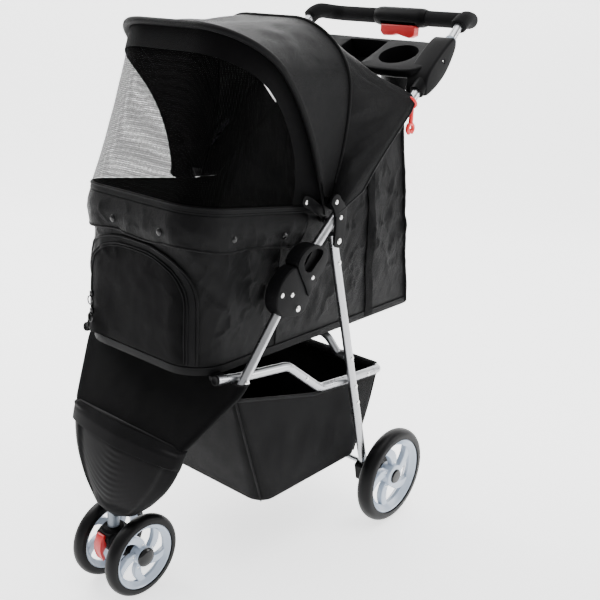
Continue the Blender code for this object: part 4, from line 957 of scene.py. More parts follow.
def build_wheel(end, side, s, x, y, radius, width, body):
    """Solid tyre on a deep lipped nylon rim with five swept spokes."""
    rim, half = 0.81 * radius, width / 2
    profile = []
    for k in range(25):
        a = math.pi * k / 24
        profile.append((-half * math.cos(a) * (1 - 0.06 * math.sin(a) ** 2),
                        rim + (radius - rim) * min(1.0, math.sin(a) ** 0.55) * 0.999))
    profile += [(half * 0.86, rim + 0.0004), (half * 0.80, rim - 0.0012), (-half * 0.80, rim - 0.0012),
                (-half * 0.86, rim + 0.0004), profile[0]]
    tyre = lathe(profile, (s * x, y, radius), 96, (s, 0, 0))
    settle(tyre, f"{end}_{side}_solid_tyre", body, "tyre", [f"{end}_{side}_tyre"], 50)
    hub, reach = 0.235 * radius, half * 0.80
    dish = 0.655 * radius
    pieces = [lathe([(-reach, rim - 0.0010), (-reach - 0.0010, rim - 0.0024), (-reach, rim - 0.0042),
                     (-reach * 0.80, rim - 0.0056), (-reach * 0.26, dish), (reach * 0.26, dish),
                     (reach * 0.80, rim - 0.0056), (reach, rim - 0.0042), (reach + 0.0010, rim - 0.0024),
                     (reach, rim - 0.0010), (-reach, rim - 0.0010)], (s * x, y, radius), 96, (s, 0, 0))]
    for k in range(5):
        start = 2 * math.pi * k / 5 + (0.35 if end == "front" else 0.10)
        blade = plate(spoke_outline(y, radius, hub * 0.90, dish + 0.0016, start), s * (x - half * 0.40),
                      s * (x + half * 0.40), 0.0022, 4)
        pieces.append(blade)
    hollow = hub * 0.62
    pieces.append(lathe([(-half * 0.86, hollow), (-half * 0.86, hub - 0.002), (-half * 0.78, hub),
                         (half * 0.78, hub), (half * 0.86, hub - 0.002), (half * 0.86, hollow),
                         (half * 0.60, hollow - 0.001), (half * 0.60, 0.0052), (-half * 0.60, 0.0052),
                         (-half * 0.60, hollow - 0.001), (-half * 0.86, hollow)],
                        (s * x, y, radius), 64, (s, 0, 0)))
    settle(fuse(pieces), f"{end}_{side}_spoked_rim", body, "rim", [f"{end}_{side}_rim"], 40)
    face = x + half * 0.40
    for k in range(5):
        a = 2 * math.pi * k / 5 + (0.37 if end == "front" else 0.12)
        at = (s * face, y + (hub + 0.0040) * math.cos(a), radius + (hub + 0.0040) * math.sin(a))
        stud(rivet(at, 0.0019, 0.0009, (s, 0, 0)), f"{end}_{side}_screw_{k}", body)
    if end == "front":
        cap = lathe([(0, hub * 0.96), (0.0030, hub * 0.98), (0.0055, hub * 0.86), (0.0072, hub * 0.52),
                     (0.0076, 0)], (s * (x + half * 0.80), y, radius), 40, (s, 0, 0))
    else:
        cap = lathe([(-0.003, 0), (-0.003, hub * 0.64), (0.0040, hub * 0.64), (0.0062, hub * 0.56),
                     (0.0070, 0)],
                    (s * (x + half * 0.70), y, radius), 40, (s, 0, 0))
    settle(cap, f"{end}_{side}_hub_cap", body, "cap")


def build_wheels():
    for side, s in SIDES:
        build_wheel("front", side, s, 0.043, 0.0, FRONT_WHEEL_R, 0.025, "front_wheel_" + side)
        build_wheel("rear", side, s, 0.2075, REAR_AXLE_Y, REAR_WHEEL_R, 0.031, "rear_wheel_" + side)


def build_grip():
    """Foam sleeves, the release housing between them and the red trigger below it."""
    path = rounded_path(HANDLE_BEND, 0.050, 14)
    for side, s in SIDES:
        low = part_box("foam_grip_" + side)[0].z
        points = [Vector((s * p.x, p.y, p.z)) for p in path if p.z > low + 0.004 and p.x > 0.0613]
        points.append(Vector((s * 0.0613, HANDLE_Y, HANDLE_Z)))
        sleeve = bar(points, 0.0150, 32)
        soften(sleeve, 0.0022, 3, 50)
        settle(sleeve, "foam_sleeve_" + side, "handle_frame", "foam",
               ["foam_grip_" + side], 50)
    shell = lathe([(-0.0610, 0), (-0.0610, 0.0140), (-0.0600, 0.0156), (-0.0520, 0.0180), (-0.0440, 0.0186),
                   (0.0440, 0.0186), (0.0520, 0.0180), (0.0600, 0.0156), (0.0610, 0.0140), (0.0610, 0)],
                  (0, HANDLE_Y, HANDLE_Z), 48)
    slot = box((0, HANDLE_Y - 0.006, HANDLE_Z - 0.0255), (0.0830, 0.0206, 0.033))
    boolean(shell, slot, "DIFFERENCE")
    soften(shell, 0.0010, 2, 45)
    moulding(shell, "release_shell", "handle_frame", ["release_housing"])
    outline = ((-0.0410, 0.0096), (-0.0410, -0.0056), (-0.0330, -0.0126), (-0.0140, -0.0118),
               (0.0, -0.0086), (0.0140, -0.0118), (0.0300, -0.0150), (0.0410, -0.0100), (0.0410, 0.0096))
    cy, cz = HANDLE_Y - 0.006, HANDLE_Z - 0.0245
    trigger = extruded([(x, cy - 0.0098, cz + z) for x, z in outline], (0, 0.0196, 0), 0.0028, 4)
    settle(trigger, "squeeze_trigger", "trigger", "red", ["release_trigger"])


def tray_point(x, back, down):
    c, s = math.cos(TRAY_TILT), math.sin(TRAY_TILT)
    return Vector((x, TRAY_AT[0] + back * c + down * s, TRAY_AT[1] + back * s - down * c))


def tray_piece(obj):
    """Lay a piece shaped flat, x across, y back and z up from the tray's top, into the tray."""
    for vertex in obj.data.vertices:
        vertex.co = tray_point(vertex.co.x, vertex.co.y, -vertex.co.z)
    weld(obj)
    return obj


def flat_plate(outline, z0, z1, bevel=0.0, segments=3):
    """Outline in (x, y) extruded upwards."""
    return extruded([(x, y, z0) for x, y in outline], (0, 0, z1 - z0), bevel, segments)


def tube_core(s):
    """Room that the tray's clamps leave round the upper tube."""
    return bar([(s * FRAME_X, *on_upper(0.44)), (s * FRAME_X, *on_upper(0.59))], TUBE_R + 0.0002, 32)


def build_tray():
    """Cup tray: one rounded moulding with two open wells, a middle bin and two tube clamps."""
    half, front, back = 0.1735, -0.059, 0.059
    shape = smooth_loop(((-half, -0.026), (-half + 0.004, -0.044), (-0.150, front + 0.002),
                         (-0.098, front), (-0.050, front + 0.004), (0, front + 0.005), (0.050, front + 0.004),
                         (0.098, front), (0.150, front + 0.002), (half - 0.004, -0.044), (half, -0.026),
                         (half, 0.022), (half - 0.010, 0.044), (0.140, back - 0.002), (0.085, back),
                         (0, back - 0.001), (-0.085, back), (-0.140, back - 0.002),
                         (-half + 0.010, 0.044), (-half, 0.022)), 4)
    tray = flat_plate(shape, -0.017, 0.0, 0.0050, 4)
    outer = []
    for s in (1, -1):
        outer.append(lathe([(-0.058, 0), (-0.058, CUP_R - 0.004), (-0.054, CUP_R + 0.0010),
                            (-0.010, CUP_R + 0.0028), (-0.002, CUP_R + 0.0030), (-0.002, 0)],
                           (s * CUP_X, 0, 0), 64, (0, 0, 1)))
        rim = [(s * CUP_X + (CUP_R + 0.0030) * math.cos(2 * math.pi * k / 72),
                (CUP_R + 0.0030) * math.sin(2 * math.pi * k / 72), -0.0004) for k in range(73)]
        outer.append(bar(rim, 0.0026, 12, caps=False))
    bin_shape = smooth_loop(((-0.047, -0.036), (-0.038, -0.0475), (0.038, -0.0475), (0.047, -0.036),
                             (0.047, 0.036), (0.038, 0.0475), (-0.038, 0.0475), (-0.047, 0.036)), 4)
    outer.append(flat_plate(bin_shape, -0.0400, -0.004, 0.0035, 3))
    for piece in outer:
        boolean(tray, piece, "UNION")
    for s in (1, -1):
        room = lathe([(-0.0550, 0), (-0.0550, CUP_R - 0.006), (-0.0525, CUP_R - 0.0025),
                      (0.004, CUP_R), (0.004, 0)], (s * CUP_X, 0, 0), 64, (0, 0, 1))
        boolean(tray, room, "DIFFERENCE")
    room = [(x * 0.94, y * 0.95) for x, y in bin_shape]
    boolean(tray, flat_plate(room, -0.0375, 0.004), "DIFFERENCE")
    soften(tray, 0.0009, 2, 42)
    tray_piece(tray)
    clamps = []
    for s in (1, -1):
        low, high = on_upper(0.452), on_upper(0.572)
        line = [(s * FRAME_X, *low), (s * FRAME_X, *high)]
        ring = bar([Vector(line[0]), Vector(line[0]).lerp(Vector(line[1]), 0.5), Vector(line[1])], 0.0132, 32)
        boolean(ring, tube_core(s), "DIFFERENCE")
        soften(ring, 0.0016, 3, 50)
        clamps.append(ring)
        cheek = [on_upper(0.455, -0.008), on_upper(0.475, -0.020), on_upper(0.520, -0.025),
                 on_upper(0.560, -0.016), on_upper(0.580, -0.004), on_upper(0.576, 0.012),
                 on_upper(0.530, 0.018), on_upper(0.480, 0.015)]
        side = plate(smooth_loop(cheek, 5), s * (FRAME_X - 0.030), s * (FRAME_X + 0.0140), 0.0060, 4)
        boolean(side, tube_core(s), "DIFFERENCE")
        screw = lathe([(0, 0), (0, 0.0042), (0.004, 0.0046), (0.004, 0)],
                      (s * (FRAME_X + 0.0116), *on_upper(0.530)), 24, (s, 0, 0))
        boolean(side, screw, "DIFFERENCE")
        clamps.append(side)
    moulding(fuse([tray] + clamps), "drink_tray", "handle_frame", ["cup_tray"], 40)
    for side, s in SIDES:
        stud(rivet((s * (FRAME_X + 0.0118), *on_upper(0.530)), 0.0034, 0.0012, (s, 0, 0)),
             "tray_screw_" + side, "handle_frame")
        sleeve = [(s * FRAME_X, *on_upper(0.5728)), (s * FRAME_X, *on_upper(0.584))]
        ring = bar(sleeve, 0.0110, 28)
        settle(ring, "tube_sleeve_" + side, "handle_frame", "stem")


def build_hook():
    """Red transport hook: split ring round the upper tube, short shank and barbed catch."""
    y, z = on_upper(0.428)
    radius, wire = TUBE_R + 0.0034, 0.0031
    ring = []
    for step in range(31):
        a = math.radians(-98 + 273 * step / 30)
        lift = radius * math.sin(a)
        ring.append((FRAME_X + radius * math.cos(a), y - lift * math.sin(UPPER_SLOPE),
                     z + lift * math.cos(UPPER_SLOPE)))
    fy, fz = y + radius * math.sin(UPPER_SLOPE), z - radius * math.cos(UPPER_SLOPE)
    catch = [(FRAME_X, *p) for p in arc((fy, fz - 0.038), 0.0085, -60, 250, 26)]
    barb = [(FRAME_X, *arc((fy, fz - 0.038), 0.0085, -60, -60, 1)[0]), (FRAME_X, fy + 0.0010, fz - 0.0400)]
    pieces = [bar(ring, wire, 16), bar([(FRAME_X, fy, fz + 0.001), (FRAME_X, fy, fz - 0.031)], 0.0040, 16),
              bar(catch, 0.0036, 16), bar(barb, 0.0030, 12)]
    settle(fuse(pieces), "tether_hook", "hook", "hook", ["transport_hook"], 60)


def dress_carried_nodes():
    """Finish for frame solids that stay in view: welded, softened and given their material."""
    for side, _ in SIDES:
        for name in ("axle_housing_" + side, "brake_pedal_" + side, "hinge_knuckle_" + side):
            node = frame["nodes"][name]
            join_up = node.modifiers.new("weld", "WELD")
            join_up.merge_threshold = 0.00005
            edge = node.modifiers.new("edges", "BEVEL")
            edge.width, edge.segments, edge.limit_method = 0.0010, 3, "ANGLE"
            edge.angle_limit = math.radians(28)
            node.data.materials.clear()
            node.data.materials.append(MATERIALS["plastic"])
    board = frame["nodes"]["floor_board"]
    board.data.materials.clear()
    board.data.materials.append(MATERIALS["plastic"])


def cabin_puff(u, z):
    """How far the cabin's cloth stands off a straight wall: a slack belly with drawn folds."""
    up = (z - CABIN_FLOOR) / (cabin_rim(straight_y(u)) - CABIN_FLOOR)
    belly = math.sin(math.pi * min(max(up, 0.0), 1.0))
    depth = bpy.context.scene.stroller_look.wrinkle
    broad = folds((u + 0.25 * z, 0, z), 3.1, (1.0, 1.0, 0.45), 0.060)
    fine = folds((u - 0.5 * z, 0, z), 8.3, (1.0, 1.0, 0.30), 0.020)
    pull = folds((u + 0.55 * z, 0, z - 0.35 * u), 14.0, (1.0, 1.0, 1.0), 0.075)
    crease = max(0.0, 1 - abs(pull) * 4.5) ** 2
    return belly * (0.0018 + depth * (0.75 * broad + 0.30 * fine + 0.45 * crease))


def cloth_at(u, z, lift=0.0):
    return cabin_at(u, z, lift + cabin_puff(u, z))


def band(path, width, lift, wall=0.0010, across=4, surface=cloth_at, crown=0.0004):
    """Flat strip laid on the cabin along a path of (u, z)."""
    rows = []
    for k, (u, z) in enumerate(path):
        before, after = Vector(path[max(k - 1, 0)]), Vector(path[min(k + 1, len(path) - 1)])
        way = (after - before).normalized()
        row = []
        for j in range(across + 1):
            off = (j / across - 0.5) * width
            rise = crown * (1 - (2 * j / across - 1) ** 2)
            row.append(surface(u - way.y * off, z + way.x * off, lift + rise))
        rows.append(row)
    return thicken(skin(rows), wall, 0.0)


def cord_line(path, lift, radius, sides=10, surface=cloth_at):
    return bar([surface(u, z, lift) for u, z in path], radius, sides)


U_REAR = FRONT_FLAT + CORNER_RUN + SIDE_RUN
U_END = U_REAR + CABIN_HALF


def u_at(y):
    """Run round the cabin wall to a distance along its side."""
    return FRONT_FLAT + CORNER_RUN + y - CABIN_FRONT - CABIN_CORNER


DOOR_HALF, DOOR_LOW, DOOR_SHOULDER, DOOR_TOP = 0.1210, 0.4330, 0.520, 0.606


def door_top(u):
    share = max(0.0, 1 - abs(u / DOOR_HALF) ** 2.5) ** (1 / 2.5)
    return DOOR_SHOULDER + (DOOR_TOP - DOOR_SHOULDER) * share


def door_path():
    """The door's zip line from its lower right corner over the arch to its lower left one."""
    path = [(-DOOR_HALF, DOOR_LOW + (DOOR_SHOULDER - DOOR_LOW) * k / 12) for k in range(12)]
    for k in range(41):
        a = math.pi * (1 - k / 40)
        c, d = math.cos(a), math.sin(a)
        path.append((DOOR_HALF * math.copysign(abs(c) ** 0.8, c),
                     DOOR_SHOULDER + (DOOR_TOP - DOOR_SHOULDER) * d ** 0.8))
    return path + [(-u, z) for u, z in path[:12][::-1]]


def build_cabin():
    """Cabin shell: one wall of slack polyester, its base, seams, bound rear edge and webbing."""
    columns = evenly(-U_END, U_END, 420)
    levels = 60
    grid = []
    for row in range(levels + 1):
        share = row / levels
        line = []
        for u in columns:
            top = cabin_rim(straight_y(u))
            line.append(cloth_at(u, CABIN_FLOOR + 0.0005 + (top - CABIN_FLOOR) * share, -0.0006))
        grid.append(line)

    def in_doorway(row, column):
        u = (columns[column] + columns[column + 1]) / 2
        z = CABIN_FLOOR + (cabin_rim(straight_y(u)) - CABIN_FLOOR) * (row + 0.5) / levels
        return abs(u) < DOOR_HALF and DOOR_LOW < z < door_top(u)

    shell = skin(grid, leave_out=in_doorway)
    weld(shell, 0.0001)
    thicken(shell, 0.0014, -1.0)
    settle(shell, "cabin_wall", "cabin_frame", "oxford", ["cabin"], 60)
    edge = [cabin_at(u, CABIN_FLOOR, -0.001) for u in columns[:-1:6]]
    base = flat_plate([(p.x, p.y) for p in edge], CABIN_FLOOR - 0.0004, CABIN_FLOOR + 0.0028, 0.0012, 2)
    settle(base, "cabin_base", "cabin_frame", "oxford")
    low = [(u, CABIN_FLOOR + 0.0065) for u in columns[::3]]
    settle(band(low, 0.0130, 0.0008), "base_binding", "cabin_frame", "binding")
    for side, s in SIDES:
        seam = [(s * u_at(0.205), CABIN_FLOOR + 0.010 + 0.225 * k / 24) for k in range(25)]
        edging(cord_line(seam, 0.0006, 0.0011), "side_seam_" + side, angle=35)
        strip = [(s * u_at(0.470), CABIN_FLOOR + 0.004 + 0.305 * k / 40) for k in range(41)]
        settle(band(strip, 0.0230, 0.0016, 0.0014), "side_webbing_" + side, "cabin_frame",
               "webbing")
        rear = [(s * (U_REAR - 0.002), CABIN_FLOOR + 0.004 + 0.376 * k / 40) for k in range(41)]
        edging(cord_line(rear, 0.0006, 0.0028, 12), "rear_binding_" + side, angle=35)
        lug = box((s * 0.1475, 0.0675, 0.4150), (0.0130, 0.0230, 0.0090), 0, 0.0020)
        moulding(lug, "rail_clip_" + side, "cabin_frame")
        tab = box((s * 0.1452, 0.150, 0.4130), (0.0030, 0.0200, 0.0120), 0, 0.0008)
        settle(tab, "strap_tab_" + side, "cabin_frame", "webbing")


def flap_lift(u, v):
    """How far the storm flap stands off the wall; v runs from its seam to its hem."""
    wave = folds((u, 0, v * 0.05), 12.4, (1.0, 1.0, 1.0), 0.045)
    fine = folds((u, 0, v * 0.03), 17.2, (1.0, 1.0, 1.0), 0.020)
    return 0.0024 + 0.0036 * v + 0.0040 * math.sin(math.pi * v) + 0.0036 * v * wave + 0.0012 * v * fine


def build_cabin_trim():
    """Rim zip, storm flap with its snaps, and the arched zip that frames the front door."""
    rim_path = [(u, cabin_rim(straight_y(u)) - 0.0065) for u in evenly(-U_END, U_END, 300)]
    settle(band(rim_path, 0.0130, 0.0012), "rim_zip_tape", "cabin_frame", "zip")
    for number, off in enumerate((0.0022, 0.0092)):
        coil = [(u, z + 0.0065 - off) for u, z in rim_path]
        settle(cord_line(coil, 0.0018, 0.0013, 8), f"rim_zip_coil_{number}", "cabin_frame",
               "zip")
    arch = door_path()
    settle(band(arch, 0.0150, 0.0010), "door_zip_tape", "cabin_frame", "zip")
    outer = [(u * 1.085, DOOR_LOW + (z - DOOR_LOW) * 1.045) for u, z in arch]
    settle(cord_line(outer, 0.0018, 0.0021, 10), "door_piping", "cabin_frame", "binding")
    last = u_at(0.268)
    rows = [[] for _ in range(15)]
    hem = []
    for u in evenly(-last, last, 150):
        top = cabin_rim(straight_y(u)) - 0.0128
        ends = min(1.0, (last - abs(u)) / 0.040)
        height = 0.0515 * math.sqrt(max(0.02, 1 - (1 - ends) ** 2)) + 0.0022 * math.sin(u * 46)
        for j in range(15):
            v = j / 14
            rows[j].append(cloth_at(u, top - height * v, flap_lift(u, v)))
        hem.append(cloth_at(u, top - height, flap_lift(u, 1.0)))
    flap = sewn(rows, "storm_flap", "cabin_frame", "oxford")
    edging(bar(hem, 0.0023, 12), "flap_binding")
    for number, u in enumerate((-0.150, -0.040, 0.070, 0.185, 0.300)):
        z = cabin_rim(straight_y(u)) - 0.046
        at, out = cloth_at(u, z, 0.0085), cloth_at(u, z, 0.0185)
        settle(rivet(at, 0.0058, 0.0030, out - at), f"flap_snap_{number}", "cabin_frame",
               "cap")


def door_corner(u, z):
    """How far the door's lower right corner is turned up off the wall."""
    return 0.0100 * ease(-u, 0.060, 0.104) * (1 - ease(z, 0.436, 0.478))


def on_door(u, z, lift):
    return cloth_at(u, z, lift + door_corner(u, z))


def build_door():
    """Front door: a slack arched panel with its coil, piping and two zip pulls."""
    rows = []
    for row in range(41):
        share = row / 40
        line = []
        for k in range(57):
            u = DOOR_HALF * 0.985 * (k / 28 - 1)
            z = DOOR_LOW + 0.001 + (door_top(u) - DOOR_LOW - 0.003) * share
            middle = math.sin(math.pi * min(1.0, share * 0.96 + 0.02)) * (1 - (u / DOOR_HALF) ** 4)
            slack = 0.0030 * middle + 0.0022 * middle * folds((u, 0, z), 21.0, (1.0, 1.0, 0.7), 0.050)
            lift = 0.0004 + slack + door_corner(u, z) + cabin_puff(u, z) * (1 - middle)
            line.append(cabin_at(u, z, lift))
        rows.append(line)
    panel = sewn(rows, "door_panel", "door", "door_cloth", ["front_door"])
    arch = [(u * 0.965, DOOR_LOW + 0.002 + (z - DOOR_LOW) * 0.972) for u, z in door_path()]

    settle(cord_line(arch, 0.0026, 0.0015, 8, on_door), "door_zip_coil", "door", "zip")
    inner = [(u * 0.925, DOOR_LOW + 0.004 + (z - DOOR_LOW) * 0.935) for u, z in door_path()]
    settle(cord_line(inner, 0.0026, 0.0012, 8, on_door), "door_inner_piping", "door", "binding")
    for number, (u, z) in enumerate(((-0.1003, 0.470), (-0.1003, 0.500))):
        at = on_door(u, z, 0.0058)
        slider = box(at, (0.0070, 0.0060, 0.0100), 0, 0.0018)
        ring = [at + Vector((0.0060 * math.cos(a), -0.0035, -0.0110 + 0.0075 * math.sin(a)))
                for a in [2 * math.pi * k / 28 for k in range(29)]]
        pull = fuse([slider, bar(ring, 0.0012, 10, caps=False)])
        settle(pull, f"zip_pull_{number}", "door", "cap")


def bow_finish(obj, name, body, replaced=()):
    settle(obj, name, body, "binding", replaced, 50)


def build_canopy():
    """Canopy: two hoops, a taut hood between them and a rear drape rolled over the cabin's edge."""
    count = 110
    for label, bow, body in (("front", FRONT_BOW, "canopy_bow"), ("rear", REAR_BOW, "cabin_frame")):
        hoop = [bow_point(bow, k / 120) for k in range(121)]
        eyes = [lathe([(-0.0026, 0.0033), (-0.0026, 0.0060), (0.0026, 0.0060), (0.0026, 0.0033),
                       (-0.0026, 0.0033)], (s * bow["x"], *CANOPY_PIVOT), 28) for s in (1, -1)]
        pins = []
        if label == "rear":
            pins = [rivet((s * 0.1640, *CANOPY_PIVOT), 0.0050, 0.0022, (s, 0, 0)) for s in (1, -1)]
            pins += [bar([(s * 0.1440, *CANOPY_PIVOT), (s * 0.1642, *CANOPY_PIVOT)], 0.0030, 16)
                     for s in (1, -1)]
        bow_finish(fuse([bar(hoop, 0.0030, 16)] + eyes + pins), label + "_hoop", body, [label + "_bow"])
    front = bow_row(FRONT_BOW, count, 0.0050, 0.0, 0.035)
    back = bow_row(REAR_BOW, count, 0.0050, -0.0004, 0.035)
    rows = []
    for r in range(25):
        share = r / 24
        belly = math.sin(math.pi * share)
        line = []
        for k, (a, b) in enumerate(zip(front, back)):
            p = a.lerp(b, share)
            t = k / count
            crown = math.sin(math.pi * t)
            drawn = folds((p.x, p.y * 0.5, p.z), 31.0, (1.0, 1.0, 0.8), 0.090)
            fine = folds((p.x, p.y, p.z), 35.0, (1.0, 0.5, 1.0), 0.030)
            sag = belly * (-0.0050 * crown + 0.0044 * drawn + 0.0020 * fine)
            out = (p - Vector((0, *CANOPY_PIVOT))).normalized()
            line.append(p + out * sag)
        rows.append(line)
    hood = sewn(rows, "hood_panel", None, "oxford", ["canopy_hood"])
    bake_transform(hood)
    trim = bar(bow_row(FRONT_BOW, 150, 0.0036, -0.0012), 0.0056, 16)
    edging(trim, "front_binding", "canopy_bow")
    piping = bar(bow_row(REAR_BOW, 150, 0.0062, -0.0002), 0.0030, 12)
    edging(piping, "rear_piping")
    build_canopy_rear()


HEM_MARKS = ((0.150, 0.018), (0.175, 0.007), (0.200, -0.001), (0.233, -0.0115), (0.275, -0.0060),
             (0.317, -0.0042), (0.362, -0.0036), (0.410, -0.0030), (DRAPE_END, 0.0020))


def canopy_hem(share):
    """Shoulder and hem of the rear cloth: over the upper tube, then across the cabin's rear top."""
    if share <= 0.62:
        d = 0.158 + 0.266 * share / 0.62
        lift = 0.0096 + 0.0010 * ease(d, 0.38, DRAPE_END)
        return Vector((0.1864, *on_upper(d, lift))), Vector((0.1892, *on_upper(d, between(HEM_MARKS, d))))
    low = Vector((0.1864, *on_upper(DRAPE_END, 0.0106)))
    path = [low, Vector((0.1800, *on_upper(0.437, 0.0112))), Vector((0.1640, *on_upper(0.441, 0.0080))),
            Vector((CABIN_HALF + 0.0010, CABIN_TOP[0] + 0.001, CABIN_TOP[1] + 0.0034)),
            Vector((0.0, CABIN_TOP[0] + 0.001, CABIN_TOP[1] + 0.0034))]
    lengths = [(b - a).length for a, b in zip(path, path[1:])]
    left = (share - 0.62) / 0.38 * sum(lengths)
    for (a, b), run in zip(zip(path, path[1:]), lengths):
        if left <= run or b is path[-1]:
            point = a.lerp(b, min(1.0, left / run))
            return point, point + Vector((0.0028 * (point.x / 0.1864), 0.0016, -0.0064))
        left -= run


def build_canopy_rear():
    """Rear cloth in two halves, drawn from the rear hoop over the upper tubes to the cabin's edge."""
    count = 84
    hook = Vector((0.182, *on_upper(0.43)))
    for side, s in SIDES:
        rows = []
        for k in range(count + 1):
            share = k / count
            top = bow_point(REAR_BOW, 0.035 + 0.465 * share, 0.0050, 0.0006)
            shoulder, hem = canopy_hem(share)
            line = []
            for r in range(37):
                f = r / 36
                p = top.lerp(shoulder, f)
                belly = math.sin(math.pi * f) * (1 - ease(f, 0.75, 1.0) * 0.6)
                reach = p - hook
                fan = math.atan2(reach.z, -reach.y)
                near = min(1.0, reach.length / 0.16)
                drawn = near * folds((fan * 0.15, reach.length * 0.25, 0), 41.0, (1.0, 1.0, 1.0), 0.052)
                fine = near * folds((fan * 0.20, reach.length * 0.3, 0), 45.0, (1.0, 1.0, 1.0), 0.030)
                middle = ease(p.x, 0.0, 0.05)
                out = (p - Vector((0, 0.36, 0.62))).normalized()
                line.append(p + out * belly * (-0.0050 + middle * (0.0088 * drawn + 0.0034 * fine)))
            for r in range(1, 7):
                line.append(shoulder.lerp(hem, r / 6) + Vector((0.0012 * math.sin(math.pi * r / 6), 0, 0)))
            rows.append([Vector((s * p.x, p.y, p.z)) for p in line])
        drape = sewn(rows, "rear_drape_" + side, "cabin_frame", "oxford",
                     ["canopy_rear"] if side == "left" else ())
        edge = bar([line[-1] for line in rows], 0.0022, 12)
        edging(edge, "drape_hem_" + side)


def build_gussets():
    """Side gussets closing the cabin's sloping edge to the cloth that rolls over the upper tubes."""
    for side, s in SIDES:
        rows = []
        for k in range(49):
            y = 0.312 + 0.218 * k / 48
            low = Vector((CABIN_HALF + 0.0012, y, cabin_rim(y) + 0.0006))
            d = min(DRAPE_END, 0.170 + 0.300 * k / 48)
            turn = Vector((0.1686, *on_upper(d, 0.0104)))
            slit = 0.9 * ease(0.22 - abs(k / 48 - 0.32), 0.0, 0.08)
            high = turn.lerp(Vector((0.1846, *on_upper(d, 0.0108))), 1 - slit)
            line = []
            for j in range(11):
                p = low.lerp(turn, j / 10)
                wave = folds(p, 93.0, (1.0, 1.0, 1.0), 0.035)
                line.append((s * (p.x + 0.0020 * wave * math.sin(math.pi * j / 10)), p.y, p.z))
            line += [(s * p.x, p.y, p.z) for p in (turn.lerp(high, j / 3) for j in range(1, 4))]
            rows.append(line)
        gusset = sewn(rows, "side_gusset_" + side, "cabin_frame", "oxford", wall=0.0010)


def build_mesh_window():
    """See-through knit panel between the front hoop and the cabin's rim."""
    count = 110
    top = bow_row(FRONT_BOW, count, -0.0042, 0.0, 0.030)
    last = u_at(0.270)
    rows = []
    rim = [cabin_at(last * (1 - 2 * k / count), cabin_rim(straight_y(last * (1 - 2 * k / count))) + 0.0014,
                    -0.0008) for k in range(count + 1)]
    for r in range(31):
        share = r / 30
        line = []
        for k, (a, b) in enumerate(zip(top, rim)):
            p = a.lerp(b, share)
            wave = folds((p.x, p.y, p.z), 51.0, (1.0, 1.0, 0.6), 0.085)
            line.append(p + Vector((0, 1, 0)) * math.sin(math.pi * share) * (0.0040 + 0.0030 * wave))
        rows.append(line)
    window = thicken(skin(rows), 0.0008, 0.0)
    settle(window, "mesh_panel", None, "mesh", ["mesh_window"], 60)
    edge = []
    for r in range(9):
        line = []
        for k, (a, b) in enumerate(zip(top, rim)):
            width = 0.034 + 0.060 * abs(2 * k / count - 1) ** 6
            share = min(1.0, width / max((b - a).length, 0.001)) * r / 8
            line.append(a + Vector((0, -0.0012, 0)) + (b - a) * share)
        edge.append(line)
    border = sewn(edge, "window_border", "canopy_bow", "door_cloth", wall=0.0012)
    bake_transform(window)


def leg_at(z):
    """(x, y) of the left front leg's centre line at a height."""
    path = front_leg_path(1)
    for a, b in zip(path, path[1:]):
        if b.z <= z <= a.z:
            f = (z - a.z) / (b.z - a.z)
            return a.x + (b.x - a.x) * f, a.y + (b.y - a.y) * f
    return path[-1].x, path[-1].y


def build_leg_panel():
    """Fabric apron wrapped round both front legs, from the cabin down into the footrest."""
    rows = []
    for step in range(29):
        z = 0.4055 - (0.4055 - 0.297) * step / 28
        x, y = leg_at(z)
        radius = TUBE_R + 0.0026
        half = []
        for k in range(9):
            a = math.radians(-90 + 180 * k / 8)
            half.append((x + radius * math.cos(a), y + radius * math.sin(a)))
        half.append((x - 0.012, y + radius))
        flat = [((x * (1 - 2 * k / 44)), y - radius) for k in range(1, 44)]
        ring = half[::-1] + flat + [(-px, py) for px, py in half]
        share = step / 28
        line = []
        for px, py in ring:
            slack = max(0.0, 1 - (px / x) ** 2) * math.sin(math.pi * share)
            wave = folds((px, 0, z), 61.0, (1.0, 1.0, 1.0), 0.060)
            line.append((px, py - slack * (0.0010 - 0.0035 * wave), z))
        rows.append(line)
    apron = sewn(rows, "leg_apron", "front_frame", "panel", ["leg_panel"], 0.0014)
    ends = [Vector(p) for p in rows[0]]
    edging(bar([p + Vector((0, 0, 0.0002)) for p in ends], 0.0017, 10), "apron_binding", "front_frame")


BASKET_RIM = ((0.098, 0.368), (0.300, 0.3158), (0.496, 0.2998))


def basket_ring(level, out=0.0):
    """Ring of the bag's wall; level runs from 1 at the rim to 0 at the floor."""
    half = 0.159 - 0.010 * (1 - level) + out
    front, rear = 0.182 - 0.084 * level - out, 0.4680 + 0.0280 * level + out
    corner = 0.012 + 0.020 * (1 - level)
    outline = []
    spans = ((half - corner, front + corner, -90), (half - corner, rear - corner, 0),
             (-half + corner, rear - corner, 90), (-half + corner, front + corner, 180))
    for number, (cx, cy, start) in enumerate(spans):
        for k in range(9):
            a = math.radians(start + 90 * k / 8)
            outline.append((cx + corner * math.cos(a), cy + corner * math.sin(a)))
        nx, ny, after = spans[(number + 1) % 4]
        a = math.radians(after)
        first = outline[-1]
        last = (nx + corner * math.cos(a), ny + corner * math.sin(a))
        many = 34 if number in (0, 2) else 28
        outline += [(first[0] + (last[0] - first[0]) * k / many, first[1] + (last[1] - first[1]) * k / many)
                    for k in range(1, many)]
    points = []
    for x, y in outline:
        share = (y - front) / (rear - front)
        top = between(BASKET_RIM, 0.098 + 0.398 * min(max(share, 0.0), 1.0))
        points.append(Vector((x, y, BASKET_FLOOR + (top - BASKET_FLOOR) * level)))
    return points


